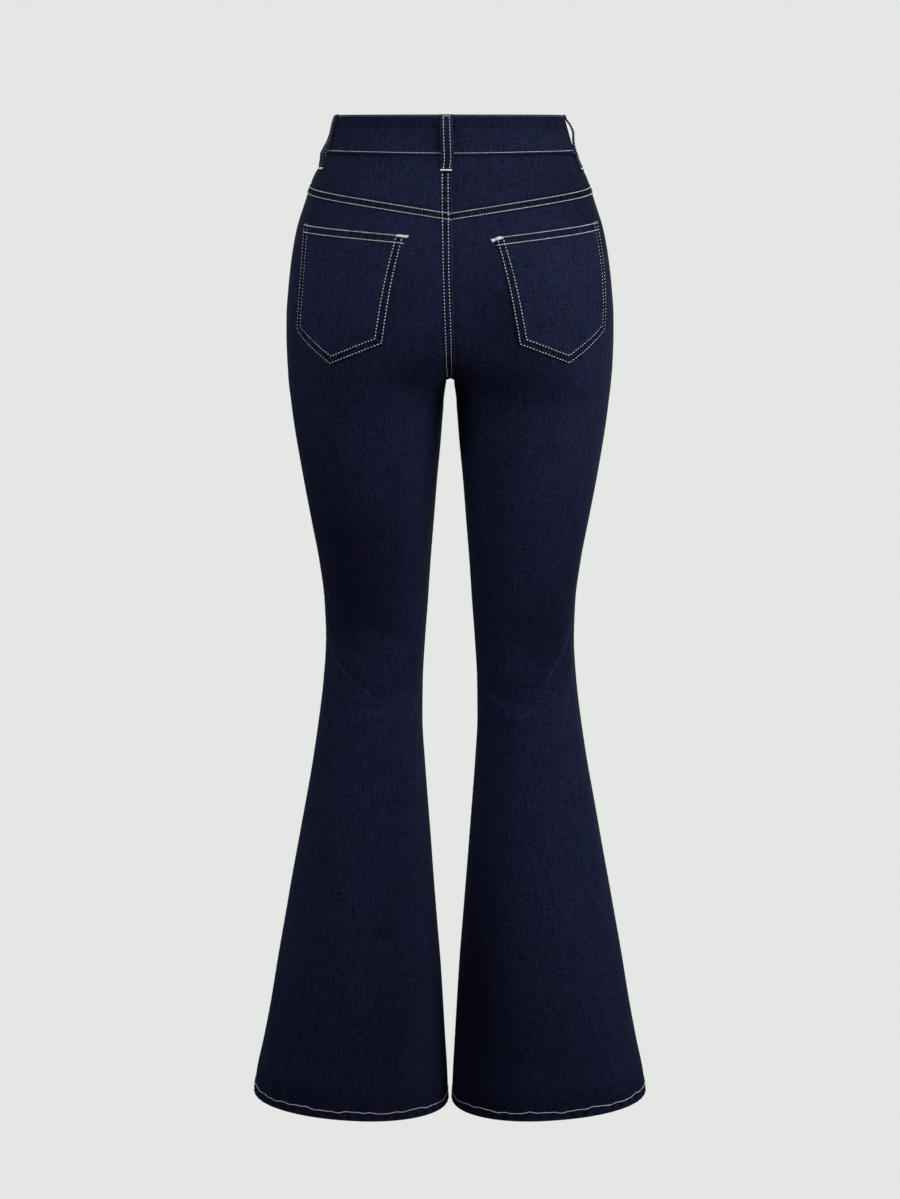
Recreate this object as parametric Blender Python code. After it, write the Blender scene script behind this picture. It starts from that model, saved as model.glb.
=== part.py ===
"""High-rise flared jeans, filled out as if worn, as separate cut pieces of denim.

Frame: +Z up, the jeans face -Y, and +X is the wearer's left.
Origin: the centre of the waist opening, level with the waistband's top edge.

Every piece lies on one surface, which is a closed ring round each leg at every height.
A place on it is an angle round the ring and a drop, the distance below the waist.
The angle is 0 at the inseam, 90 at the back, 180 at the outer side and 270 at the front.
Sizes are in millimetres, and angles are in degrees.
"""

import math

import bmesh
import bpy
import numpy as np

MM = 0.001

# Driving dimensions
HEM_DROP = 1075.0
BAND_HEIGHT, BAND_SIDE_RISE = 41.0, 2.0
CROTCH_DROP = 274.0
CLOTH = 1.2
BAND_OUT, BAND_IN = 0.7, -1.9
SEAM_GAP = 0.3
SIDE_SEAM = 186.0
CENTRE_BACK, CENTRE_FRONT = 90.0, 270.0

# One row for each level: the leg's inner side, fullest line and outer side across, its front and its back.
# Above the crotch the two rings cross, and each is cut off at the centre line.
LEVELS = np.array([
    # drop, inner, middle, outer, front, back
    (0, -119.0, 0, 119.0, 92.0, 92.0),
    (42, -132.9, 0, 132.9, 96.0, 97.0),
    (66, -147.0, 4, 145.6, 100.0, 102.0),
    (90, -158.0, 12, 153.9, 103.5, 107.0),
    (120, -166.0, 24, 163.5, 107.0, 113.0),
    (150, -165.0, 36, 169.0, 108.5, 118.0),
    (180, -154.0, 47, 172.4, 108.0, 121.5),
    (210, -128.0, 57, 174.6, 106.0, 122.5),
    (235, -92.0, 65, 174.9, 103.5, 120.8),
    (252, -62.0, 71, 174.5, 101.5, 118.0),
    (265, -36.0, 76, 174.0, 99.5, 115.0),
    (276, -15.0, 80.5, 173.2, 98.0, 111.8),
    (288, 1.5, 84, 172.1, 96.3, 108.2),
    (302, 5.6, 86.2, 170.4, 94.5, 104.0),
    (320, 7.9, 87.0, 168.3, 92.5, 99.8),
    (345, 9.9, 87.3, 164.7, 90.0, 95.5),
    (390, 14.3, 85.7, 157.2, 86.0, 88.5),
    (432, 17.7, 83.6, 149.5, 81.0, 82.0),
    (475, 21.1, 81.4, 141.6, 75.0, 75.5),
    (520, 24.1, 80.1, 136.1, 68.5, 69.5),
    (560, 27.0, 80.9, 134.9, 64.5, 66.0),
    (608, 29.6, 83.7, 137.9, 62.5, 66.0),
    (650, 30.1, 86.5, 142.9, 63.5, 68.5),
    (697, 27.6, 88.9, 150.1, 67.0, 71.5),
    (741, 24.5, 91.2, 157.9, 70.5, 75.0),
    (787, 21.0, 93.7, 166.3, 74.0, 78.0),
    (832, 17.7, 96.3, 174.8, 77.0, 80.5),
    (877, 14.3, 98.5, 182.7, 79.5, 82.5),
    (922, 10.7, 100.7, 190.7, 82.0, 84.5),
    (968, 8.0, 103.3, 198.5, 84.0, 86.0),
    (1014, 5.3, 106.3, 207.3, 86.0, 87.0),
    (1050, 3.2, 109.1, 215.0, 87.0, 88.0),
    (1085, 2.0, 110.7, 219.4, 88.0, 88.5),
], dtype=float)
SQUARENESS = 2.2

# How near the centre line each leg's inner side may come: the thighs are pressed flat under the seat
CLEARANCE = ((273.6, 274, 275, 302, 345, 400), (-900, 0, 3.8, 5.6, -5, -60))
SOFTNESS = 2.0

# The largest folds. Each is a soft ridge, or a trough where its height is below zero.
# tilt is its slope: above zero, it runs down as the angle grows.
FOLDS = [
    # leg, angle, drop, tilt, half length, half width, height
    ("left", 72, 552, -19, 30, 8, -1.4),
    ("left", 135, 582, -40, 34, 9, -1.8),
    ("left", 96, 612, -31, 22, 9, -1.9),
    ("left", 60, 611, 25, 26, 9, -2.0),
    ("left", 112, 578, -34, 34, 11, 1.2),
    ("left", 138, 650, -61, 42, 10, 1.6),
    ("left", 42, 731, 88, 105, 10, 1.5),
    ("left", 64, 284, -36, 40, 13, -1.5),
    ("right", 135, 568, -53, 38, 9, -1.8),
    ("right", 47, 611, 19, 26, 9, -1.8),
    ("right", 79, 621, 9, 20, 9, -2.0),
    ("right", 107, 611, -35, 24, 9, -1.8),
    ("right", 84, 592, 4, 36, 11, 1.2),
    ("right", 38, 743, 87, 60, 10, 1.5),
    ("right", 144, 815, 98, 82, 12, 1.4),
    ("right", 71, 306, -35, 62, 14, -2.2),
    ("left", 236, 598, 10, 40, 11, -1.8),
    ("left", 292, 566, -14, 34, 10, -1.5),
    ("right", 248, 588, -8, 44, 11, -1.9),
    ("right", 300, 560, 12, 30, 9, -1.4),
    ("left", 300, 318, 34, 42, 11, -1.6),
    ("right", 302, 330, 38, 48, 12, -1.7),
]

# The drops of each leg panel's rows, down from its top edge: closer at the crotch and at the knee
LEG_ROWS = (
    100, 125, 150, 180, 208, 232, 252, 264, 270, 273.5, 274, 275, 283, 300, 319, 337, 360, 388, 420, 454, 488, 518,
    544, 568, 590, 608, 626, 648, 676, 710, 748, 790, 835, 880, 925, 970, 1012, 1044, 1065,
)
LEG_COLUMNS = 13
SEAM_BLEND_DROP, HEM_BLEND_DROP = 230.0, 900.0
CROWD, CROWD_FROM = 12.0, 196.0
HEM_TURN, HEM_THICKNESS = 11.0, 2.4

# The yoke's lower seam, from the side seam to the centre back
YOKE_SIDE_DROP, YOKE_BACK_DROP, YOKE_BOW = 70.9, 99.2, -2.5

# The scooped front pocket, and the facing behind it
SCOOP_START, SCOOP_DROP = 0.52, 112.0
FACING_IN, FACING_BELOW = (-2.4, -3.6), 24.0

# Back pocket corners as (angle, drop), the tip as (drop, share of the way out) and the outer side's bow.
# The two pockets aren't sewn on quite alike.
POCKETS = {
    # leg: top inner, top outer, low inner, low outer, tip, bow
    "left": ((101.1, 122.6), (159.3, 113.4), (92.3, 233.5), (145.0, 223.9), (256.3, 0.45), -2.0),
    "right": ((100.4, 124.6), (161.6, 110.8), (93.1, 234.6), (146.6, 223.0), (255.7, 0.424), 1.8),
}
POCKET_OUT, POCKET_IN = 1.9, 0.7

# Belt loops: their place round the waist and how they stand off
LOOP_WIDTH, LOOP_THICKNESS, LOOP_TOP, LOOP_BOTTOM = 13.0, 1.8, 0.0, 59.0
LOOP_DROPS = (0, 5, 12, 19, 27, 35, 42, 50, 59)
LOOPS = [
    # name, leg side, angle at the top and at the bottom, and how far it stands off at each of those drops
    ("belt_loop_back", "left", 92.4, 91.1, (1.0, 1.8, 3.6, 5.6, 6.3, 5.2, 3.2, 1.2, 0.6)),
    ("belt_loop_side_left", "left", 170.5, 166.5, (1.0, 2.6, 2.6, 2.2, 3.1, 5.0, 5.8, 3.4, 0.5)),
    ("belt_loop_side_right", "right", 180.0, 170.0, (0.9, 1.3, 3.7, 4.6, 2.6, 1.3, 1.3, 0.5, 0.3)),
    ("belt_loop_front_left", "left", 229.0, 229.5, (1.0, 2.0, 3.6, 5.0, 5.4, 4.4, 2.8, 1.2, 0.6)),
    ("belt_loop_front_right", "right", 229.0, 228.0, (1.0, 1.5, 3.0, 4.6, 5.2, 4.9, 3.4, 1.6, 0.6)),
]

# The waistband's ends: the lapping one, on the wearer's left, and the one beneath it
LAPPED_TO, UNDER_TO = 271.4, -112.0
BUTTON_RADIUS, BUTTON_DROP, BUTTON_ANGLE, BUTTON_TURN = 8.5, 20.0, 262.5, 2.5

# Colours: red, green, blue, roughness, metallic
DENIM = ("denim", (0.010, 0.012, 0.028), 0.9, 0.0)
DENIM_FACING = ("denim_facing", (0.010, 0.012, 0.028), 0.9, 0.0)
BRASS = ("antique_brass", (0.30, 0.19, 0.09), 0.4, 1.0)


def curve_through(table, drop):
    """The table's other columns at each drop, on a smooth curve through its rows."""
    drops, values = table[:, 0], table[:, 1:]
    spans = np.diff(drops)[:, None]
    slopes = np.diff(values, axis=0) / spans
    before, after = slopes[:-1], slopes[1:]
    product = before * after
    mean = (before * spans[1:] + after * spans[:-1]) / (spans[:-1] + spans[1:])
    inner = np.where(product > 0, product / np.where(mean == 0, 1, mean), 0)
    tangents = np.vstack([slopes[:1], inner, slopes[-1:]])
    row = np.clip(np.searchsorted(drops, drop, side="right") - 1, 0, len(drops) - 2)
    span = spans[row]
    t = ((drop - drops[row])[..., None]) / span
    start = (1 + 2 * t) * (1 - t) ** 2 * values[row] + t * (1 - t) ** 2 * span * tangents[row]
    return start + t * t * (3 - 2 * t) * values[row + 1] + t * t * (t - 1) * span * tangents[row + 1]


def ring_sizes(drop):
    """The middle, and how far the ring reaches from it inward, outward, to the front and to the back."""
    inner, middle, outer, front, back = np.moveaxis(curve_through(LEVELS, drop), -1, 0)
    return middle, middle - inner, outer - middle, front, back


def folds_at(leg, angle, drop, girth):
    """How far the folds lift the surface. girth is the ring's mean radius."""
    lift = np.zeros(np.broadcast(angle, drop).shape)
    for fold_leg, fold_angle, fold_drop, tilt, half_length, half_width, height in FOLDS:
        if fold_leg != leg:
            continue
        round_way = np.radians(angle - fold_angle) * girth
        down_way = drop - fold_drop
        slope = math.radians(tilt)
        along = round_way * math.cos(slope) + down_way * math.sin(slope)
        across = down_way * math.cos(slope) - round_way * math.sin(slope)
        lift += height * np.exp(-((along / half_length) ** 2) - (across / half_width) ** 2)
    return lift


def bare_ring(angle, drop):
    """A point on the wearer's left, with no folds: x, y and the ring's mean radius."""
    middle, inward, outward, front, back = ring_sizes(drop)
    turn = np.radians(angle)
    cosine, sine = np.cos(turn), np.sin(turn)
    across = np.where(cosine >= 0, inward, outward)
    deep = np.where(sine >= 0, back, front)
    power = SQUARENESS
    reach = (np.abs(cosine / across) ** power + np.abs(sine / deep) ** power) ** (-1 / power)
    clear = np.interp(drop, *CLEARANCE)
    x = clear + SOFTNESS * np.logaddexp(0, (middle - reach * cosine - clear) / SOFTNESS)
    return x, reach * sine, (outward + (front + back) / 2) / 2


def folded(leg, angle, drop):
    x, y, girth = bare_ring(angle, drop)
    lift = folds_at(leg, angle, drop, girth)
    turn = np.radians(angle)
    return np.stack([x - lift * np.cos(turn), y + lift * np.sin(turn), -drop], axis=-1)


def surface(leg, angle, drop, out=0.0):
    """Points on the jeans, moved outward by out, for a leg named left or right."""
    angle, drop, out = np.broadcast_arrays(*(np.asarray(v, dtype=float) for v in (angle, drop, out)))
    here = folded(leg, angle, drop)
    around = folded(leg, angle + 0.5, drop) - folded(leg, angle - 0.5, drop)
    down = folded(leg, angle, drop + 1.0) - folded(leg, angle, drop - 1.0)
    normal = np.cross(around, down)
    normal /= np.linalg.norm(normal, axis=-1, keepdims=True)
    points = here + normal * out[..., None]
    if leg == "right":
        points = points * (-1, 1, 1)
    return points


def inner_angle(drop, behind):
    """The angle of the edge at the centre line, or of the inseam below the crotch."""
    middle, inward, _, front, back = ring_sizes(drop)
    cut = middle - SEAM_GAP / 2
    share = np.clip(np.abs(cut / inward), 0, 1) ** SQUARENESS
    deep = np.where(behind, back, front)
    height = deep * (1 - share) ** (1 / SQUARENESS) * (np.interp(drop, *CLEARANCE) < 0)
    angle = np.degrees(np.arctan2(height, cut))
    gap = np.degrees(SEAM_GAP / 2 / inward)
    angle = np.maximum(angle, gap)
    return angle if behind else 360 - angle


def panel_run(drop, first, last):
    """The way round from the first angle to the last, in millimetres."""
    angles = first[..., None] + (last - first)[..., None] * np.linspace(0, 1, 61)
    x, y, _ = bare_ring(angles, drop[..., None] + np.zeros(61))
    return np.hypot(np.diff(x), np.diff(y)).sum(axis=-1)


def spread_angles(drop, first, last, place):
    """The angle at each place, from 0 to 1, of the way round from first to last."""
    steps = np.linspace(0, 1, 61)
    angles = first[..., None] + (last - first)[..., None] * steps
    x, y, _ = bare_ring(angles, drop[..., None] + np.zeros(61))
    run = np.hypot(np.diff(x), np.diff(y)).cumsum(axis=-1)
    run = np.concatenate([np.zeros(run.shape[:-1] + (1,)), run], axis=-1)
    goal = place * run[..., -1]
    each = zip(goal.ravel(), run.reshape(-1, 61), angles.reshape(-1, 61))
    return np.array([np.interp(*one) for one in each]).reshape(goal.shape)


def hem_drop(angle):
    """The hem is a little lower at the inseam than at the side, and at the back than in front."""
    turn = np.radians(angle)
    return HEM_DROP + 5.7 * np.cos(turn) + 3.5 * np.sin(turn)


def seam_edge(angle, away):
    """The angle, moved away from a seam by half of its gap."""
    return angle + away * math.degrees(SEAM_GAP / 2 / 110)


def crowded(place, whole, drop, behind):
    """The columns' places above the crotch: those that run beneath it are drawn together at the centre."""
    crotch = np.array([CROTCH_DROP])
    side = np.array([SIDE_SEAM])
    full = panel_run(crotch, inner_angle(crotch, behind), side)[0]
    to_side = (1 - place) * full
    zone = whole - CROWD
    to_side = np.where(to_side < zone, to_side, whole - CROWD * (full - to_side) / (full - zone))
    share = np.clip((drop - CROWD_FROM) / (CROTCH_DROP - 0.5 - CROWD_FROM), 0, 1)
    weight = share * share * (3 - 2 * share) * (drop < CROTCH_DROP)
    return place + (1 - to_side / whole - place) * weight


def leg_grid(place, tops, rows, behind):
    """Angles and drops of a leg panel's grid, whose first row follows the panel's top edge.

    place is each column's share of the way from the centre or inseam to the side seam.
    """
    levels = np.append(rows, HEM_DROP)[:, None] + np.zeros((1, len(tops)))
    rise = (SEAM_BLEND_DROP - tops) / (SEAM_BLEND_DROP - rows[0])
    drop = np.where(levels < SEAM_BLEND_DROP, SEAM_BLEND_DROP - (SEAM_BLEND_DROP - levels) * rise, levels)
    side = np.full(drop.shape, seam_edge(SIDE_SEAM, -1 if behind else 1))
    low = (levels - HEM_BLEND_DROP) / (HEM_DROP - HEM_BLEND_DROP)
    for _ in range(2):
        first = inner_angle(drop, behind)
        spread = crowded(place, panel_run(drop, first, side), drop, behind)
        angle = spread_angles(drop, first, side, spread)
        drop = np.where(low > 0, HEM_BLEND_DROP + low * (hem_drop(angle) - HEM_BLEND_DROP), drop)
    return angle, drop


def wall_mesh(name, outside, inside):
    """A closed wall between two grids of points, with a rim along its four edges."""
    rows, columns = outside.shape[:2]
    mesh = bmesh.new()
    outer = [[mesh.verts.new(p) for p in row] for row in outside * MM]
    inner = [[mesh.verts.new(p) for p in row] for row in inside * MM]
    for i in range(rows - 1):
        for j in range(columns - 1):
            mesh.faces.new((outer[i][j], outer[i][j + 1], outer[i + 1][j + 1], outer[i + 1][j]))
            mesh.faces.new((inner[i][j], inner[i + 1][j], inner[i + 1][j + 1], inner[i][j + 1]))
    rim = [(i, 0) for i in range(rows)] + [(rows - 1, j) for j in range(1, columns)]
    rim += [(i, columns - 1) for i in range(rows - 2, -1, -1)] + [(0, j) for j in range(columns - 2, 0, -1)]
    for here, there in zip(rim, rim[1:] + rim[:1]):
        quad = (outer[here[0]][here[1]], outer[there[0]][there[1]], inner[there[0]][there[1]], inner[here[0]][here[1]])
        mesh.faces.new(quad)
    return finished(name, mesh)


def finished(name, mesh):
    """Turns the faces outward and makes the object, its quads split the same way each time."""
    bmesh.ops.recalc_face_normals(mesh, faces=mesh.faces[:])
    if mesh.calc_volume(signed=True) < 0:
        bmesh.ops.reverse_faces(mesh, faces=mesh.faces[:])
    bmesh.ops.triangulate(mesh, faces=mesh.faces[:], quad_method="FIXED", ngon_method="EAR_CLIP")
    data = bpy.data.meshes.new(name)
    mesh.to_mesh(data)
    mesh.free()
    data.shade_smooth()
    data.set_sharp_from_angle(angle=math.radians(50))
    piece = bpy.data.objects.new(name, data)
    bpy.context.scene.collection.objects.link(piece)
    return piece


def material(kind):
    name, colour, roughness, metallic = kind
    found = bpy.data.materials.get(name)
    if found:
        return found
    made = bpy.data.materials.new(name)
    made.use_nodes = True
    shader = made.node_tree.nodes["Principled BSDF"]
    shader.inputs["Base Color"].default_value = (*colour, 1)
    shader.inputs["Roughness"].default_value = roughness
    shader.inputs["Metallic"].default_value = metallic
    return made


def wall_on(name, leg, angle, drop, outer=0.0, inner=-CLOTH, kind=DENIM):
    """A piece of cloth that covers these places of the surface."""
    piece = wall_mesh(name, surface(leg, angle, drop, outer), surface(leg, angle, drop, inner))
    piece.data.materials.append(material(kind))
    return piece


def leg_wall(name, leg, angle, drop):
    """A leg panel, whose wall is thicker inside where the hem is turned up."""
    turned = np.clip((drop - hem_drop(angle) + HEM_TURN) / HEM_TURN * 3, 0, 1)
    inner = -CLOTH - (HEM_THICKNESS - CLOTH) * turned
    return wall_on(name, leg, angle, drop, 0.0, inner)


def yoke_seam(place):
    """The drop of the yoke's lower seam, from the centre back at place 0 to the side at 1."""
    return YOKE_BACK_DROP + (YOKE_SIDE_DROP - YOKE_BACK_DROP) * place + YOKE_BOW * np.sin(math.pi * place)


def back_legs():
    place = np.linspace(0, 1, LEG_COLUMNS)
    angle, drop = leg_grid(place[None, :], yoke_seam(place) + SEAM_GAP / 2, LEG_ROWS, behind=True)
    for leg in ("left", "right"):
        leg_wall(f"back_leg_{leg}", leg, angle, drop)


def band_low(angle):
    """The drop of the waistband's lower edge, which is a little higher at the sides."""
    return BAND_HEIGHT - BAND_SIDE_RISE * np.cos(np.radians(angle)) ** 2


def yokes():
    place = np.linspace(0, 1, LEG_COLUMNS)
    low = yoke_seam(place) - SEAM_GAP / 2
    top = band_low(CENTRE_BACK + (SIDE_SEAM - CENTRE_BACK) * place) + SEAM_GAP
    drop = top + (low - top) * np.linspace(0, 1, 5)[:, None]
    first = inner_angle(drop, behind=True)
    last = np.full(drop.shape, seam_edge(SIDE_SEAM, -1))
    angle = spread_angles(drop, first, last, place)
    for leg in ("left", "right"):
        wall_on(f"yoke_{leg}", leg, angle, drop)


def scoop(place):
    """The drop of the front panel's top edge, which dips in a scoop to the side seam."""
    top = band_low(CENTRE_FRONT + (SIDE_SEAM - CENTRE_FRONT) * place) + SEAM_GAP
    along = np.clip((place - SCOOP_START) / (1 - SCOOP_START), 0, 1)
    return top + (SCOOP_DROP - top) * (1 - (1 - along) ** 2) ** 0.62


def front_legs():
    """The front panels, with columns that are closer where the scoop is steep and even below it."""
    plain = np.linspace(0, SCOOP_START, 6)
    bend = SCOOP_START + (1 - SCOOP_START) * np.linspace(0, 1, 10)[1:] ** 1.7
    at_top = np.concatenate([plain, bend])
    rows = (BAND_HEIGHT, 72) + LEG_ROWS
    share = np.clip((np.append(rows, HEM_DROP) - SCOOP_DROP) / (CROTCH_DROP - SCOOP_DROP), 0, 1)[:, None]
    place = at_top * (1 - share) + np.linspace(0, 1, len(at_top)) * share
    angle, drop = leg_grid(place, scoop(at_top), rows, behind=False)
    for leg in ("left", "right"):
        leg_wall(f"front_leg_{leg}", leg, angle, drop)


def pocket_facings():
    """The cloth that shows inside each scooped pocket opening."""
    place = np.linspace(SCOOP_START - 0.03, 1, 13)
    top = band_low(CENTRE_FRONT + (SIDE_SEAM - CENTRE_FRONT) * place) + SEAM_GAP
    low = scoop(place) + FACING_BELOW
    drop = top + (low - top) * np.linspace(0, 1, 7)[:, None]
    side = np.full(drop.shape, seam_edge(SIDE_SEAM, 1))
    angle = spread_angles(drop, inner_angle(drop, behind=False), side, place)
    for leg in ("left", "right"):
        wall_on(f"pocket_facing_{leg}", leg, angle, drop, *FACING_IN, DENIM_FACING)


def back_pocket_places(leg, columns=14, rows=10):
    """A back pocket's grid: its lower edge runs down to a tip and up again."""
    top_inner, top_outer, low_inner, low_outer, (tip, tip_place), bow = POCKETS[leg]
    place = np.unique(np.append(np.linspace(0, 1, columns), tip_place))
    level = np.linspace(0, 1, rows)[:, None]
    inner = top_inner[0] + (low_inner[0] - top_inner[0]) * level
    outer = top_outer[0] + (low_outer[0] - top_outer[0]) * level + bow * np.sin(math.pi * level)
    angle = inner + (outer - inner) * place
    top = top_inner[1] + (top_outer[1] - top_inner[1]) * place
    low = np.interp(place, (0, tip_place, 1), (low_inner[1], tip, low_outer[1]))
    return angle, top + (low - top) * level


def back_pockets():
    for leg in ("left", "right"):
        angle, drop = back_pocket_places(leg)
        wall_on(f"back_pocket_{leg}", leg, angle, drop, POCKET_OUT, POCKET_IN)


def waistband():
    """One strip from the lapping end, round the wearer's left, back and right, to the end beneath."""
    turns = np.linspace(LAPPED_TO, UNDER_TO, 73)
    lift = 1.6 * np.clip((turns - 250.0) / 6.0, 0, 1) - 1.6 * np.clip((-80.0 - turns) / 6.0, 0, 1)
    drop = np.linspace(0, 1, 4)[:, None] * band_low(turns)
    angle = turns[None, :] + np.zeros(drop.shape)
    wall_on("waistband", "left", angle, drop, BAND_OUT + lift, BAND_IN + lift)


def belt_loops():
    """Strips that lie on the band at both ends and stand off it between them."""
    drop = np.linspace(LOOP_TOP, LOOP_BOTTOM, 15)[:, None]
    for name, leg, angle_top, angle_low, stand_off in LOOPS:
        inner = curve_through(np.column_stack([LOOP_DROPS, stand_off]).astype(float), drop[:, 0])
        centre = np.interp(drop, (LOOP_TOP, LOOP_BOTTOM), (angle_top, angle_low))
        degree = np.linalg.norm(surface(leg, centre + 1, drop) - surface(leg, centre - 1, drop), axis=-1) / 2
        angles = centre + LOOP_WIDTH / 2 / degree * np.linspace(-1, 1, 4)
        wall_on(name, leg, angles, drop + np.zeros(angles.shape), inner + LOOP_THICKNESS, inner)


def waist_button():
    """A domed shank button near the lapping end of the waistband."""
    profile = [(0, 0), (3.6, 0), (3.6, 1.4), (7.9, 1.6), (8.5, 2.2), (8.5, 3.0), (7.7, 3.7), (6.4, 3.4), (4.0, 4.2), (0, 4.6)]
    mesh = bmesh.new()
    points = [mesh.verts.new((r * MM, 0, h * MM)) for r, h in profile]
    edges = [mesh.edges.new(pair) for pair in zip(points, points[1:])]
    bmesh.ops.spin(
        mesh, geom=points + edges, cent=(0, 0, 0), axis=(0, 0, 1), angle=math.tau, steps=28,
        use_merge=True, use_normal_flip=False, use_duplicate=False)
    bmesh.ops.remove_doubles(mesh, verts=mesh.verts[:], dist=1e-6)
    button = finished("waist_button", mesh)
    face = surface("left", np.array(BUTTON_ANGLE), np.array(BUTTON_DROP), BAND_OUT + 1.6 + 2 * SEAM_GAP)
    button.location = face * MM
    button.rotation_euler = (math.radians(90), 0, math.radians(BUTTON_TURN))
    button.data.materials.append(material(BRASS))


def main():
    for old in list(bpy.data.objects):
        bpy.data.objects.remove(old)
    waistband()
    yokes()
    back_legs()
    front_legs()
    pocket_facings()
    back_pockets()
    belt_loops()
    waist_button()


main()
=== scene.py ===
# %% [markdown]
# # High-rise flared jeans in dark indigo stretch denim
#
# The jeans are filled out as if somebody wore them, with nobody inside. A jeans maker would
# cut two front legs, two back legs, a two-piece yoke, a waistband, two patch pockets and some
# belt loops, and join them with heavy cream thread that is meant to be seen.
#
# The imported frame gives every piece's place and size. This file only dresses it: each plain
# piece of cloth is replaced by a finer wall on the same form, with its seams, stitches,
# creases and weave.

import itertools
import math

import bmesh
import bpy
import numpy as np
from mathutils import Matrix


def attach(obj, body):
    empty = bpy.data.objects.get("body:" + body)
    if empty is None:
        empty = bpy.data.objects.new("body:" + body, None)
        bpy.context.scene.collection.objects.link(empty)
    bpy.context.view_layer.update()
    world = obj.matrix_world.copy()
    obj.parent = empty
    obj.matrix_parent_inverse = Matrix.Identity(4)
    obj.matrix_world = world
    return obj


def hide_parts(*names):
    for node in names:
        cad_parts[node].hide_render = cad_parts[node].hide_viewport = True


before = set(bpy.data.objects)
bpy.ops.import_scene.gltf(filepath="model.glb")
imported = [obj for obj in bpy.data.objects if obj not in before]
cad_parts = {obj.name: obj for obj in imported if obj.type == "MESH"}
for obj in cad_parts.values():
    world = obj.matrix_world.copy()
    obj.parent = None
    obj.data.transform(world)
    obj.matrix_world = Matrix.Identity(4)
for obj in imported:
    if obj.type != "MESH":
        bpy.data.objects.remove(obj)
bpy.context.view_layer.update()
print("packed pieces:", ", ".join(sorted(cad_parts)))

# %% [markdown]
# ## The form that all of the cloth lies on
#
# At every height a leg is one closed ring, so a place on the jeans needs two numbers: an
# angle round the ring and a drop below the waistband's top edge. The angle is 0 at the inseam,
# 90 at the back, 180 at the outer side and 270 at the front. A short table holds the ring's
# size at a few levels, and a smooth curve runs between them. It would also be possible to
# sculpt the form by hand, but a table keeps the real tailor's sizes in view: waist, hip,
# thigh, knee and hem. All sizes are in millimetres until the meshes are made.

# %% The sizes at each level
MM = 0.001
LEVELS = np.array([
    # drop, inner, middle, outer, front, back
    (0, -119.0, 0, 119.0, 92.0, 92.0),
    (42, -132.9, 0, 132.9, 96.0, 97.0),
    (66, -147.0, 4, 145.6, 100.0, 102.0),
    (90, -158.0, 12, 153.9, 103.5, 107.0),
    (120, -166.0, 24, 163.5, 107.0, 113.0),
    (150, -165.0, 36, 169.0, 108.5, 118.0),
    (180, -154.0, 47, 172.4, 108.0, 121.5),
    (210, -128.0, 57, 174.6, 106.0, 122.5),
    (235, -92.0, 65, 174.9, 103.5, 120.8),
    (252, -62.0, 71, 174.5, 101.5, 118.0),
    (265, -36.0, 76, 174.0, 99.5, 115.0),
    (276, -15.0, 80.5, 173.2, 98.0, 111.8),
    (288, 1.5, 84, 172.1, 96.3, 108.2),
    (302, 5.6, 86.2, 170.4, 94.5, 104.0),
    (320, 7.9, 87.0, 168.3, 92.5, 99.8),
    (345, 9.9, 87.3, 164.7, 90.0, 95.5),
    (390, 14.3, 85.7, 157.2, 86.0, 88.5),
    (432, 17.7, 83.6, 149.5, 81.0, 82.0),
    (475, 21.1, 81.4, 141.6, 75.0, 75.5),
    (520, 24.1, 80.1, 136.1, 68.5, 69.5),
    (560, 27.0, 80.9, 134.9, 64.5, 66.0),
    (608, 29.6, 83.7, 137.9, 62.5, 66.0),
    (650, 30.1, 86.5, 142.9, 63.5, 68.5),
    (697, 27.6, 88.9, 150.1, 67.0, 71.5),
    (741, 24.5, 91.2, 157.9, 70.5, 75.0),
    (787, 21.0, 93.7, 166.3, 74.0, 78.0),
    (832, 17.7, 96.3, 174.8, 77.0, 80.5),
    (877, 14.3, 98.5, 182.7, 79.5, 82.5),
    (922, 10.7, 100.7, 190.7, 82.0, 84.5),
    (968, 8.0, 103.3, 198.5, 84.0, 86.0),
    (1014, 5.3, 106.3, 207.3, 86.0, 87.0),
    (1050, 3.2, 109.1, 215.0, 87.0, 88.0),
    (1085, 2.0, 110.7, 219.4, 88.0, 88.5),
], dtype=float)
SQUARENESS = 2.2
# The thighs are pressed flat under the seat: at these drops, how near the centre line each leg may
# come. The large negative values at both ends set no limit.
CLEARANCE = ((273.6, 274, 275, 302, 345, 400), (-900, 0, 3.8, 5.6, -5, -60))
SOFTNESS = 2.0
KNEE_DROP = 560.0
SIDE_SEAM, CENTRE_BACK, CENTRE_FRONT = 186.0, 90.0, 270.0
CROTCH_DROP, SEAM_GAP = 274.0, 0.3
print(f"{len(LEVELS)} levels from the waist down to a hem at {LEVELS[-1][0]:.0f} mm")


# %% A smooth curve through a table
def curve_through(table, drop):
    """The table's other columns at each drop."""
    drops, values = table[:, 0], table[:, 1:]
    spans = np.diff(drops)[:, None]
    slopes = np.diff(values, axis=0) / spans
    before, after = slopes[:-1], slopes[1:]
    product = before * after
    mean = (before * spans[1:] + after * spans[:-1]) / (spans[:-1] + spans[1:])
    inner = np.where(product > 0, product / np.where(mean == 0, 1, mean), 0)
    tangents = np.vstack([slopes[:1], inner, slopes[-1:]])
    row = np.clip(np.searchsorted(drops, drop, side="right") - 1, 0, len(drops) - 2)
    span = spans[row]
    t = (drop - drops[row])[..., None] / span
    start = (1 + 2 * t) * (1 - t) ** 2 * values[row] + t * (1 - t) ** 2 * span * tangents[row]
    return start + t * t * (3 - 2 * t) * values[row + 1] + t * t * (t - 1) * span * tangents[row + 1]


def ring_sizes(drop):
    """Where a ring's middle is, and how far it reaches inward, outward, forward and back."""
    inner, middle, outer, front, back = np.moveaxis(curve_through(LEVELS, drop), -1, 0)
    return middle, middle - inner, outer - middle, front, back


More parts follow.
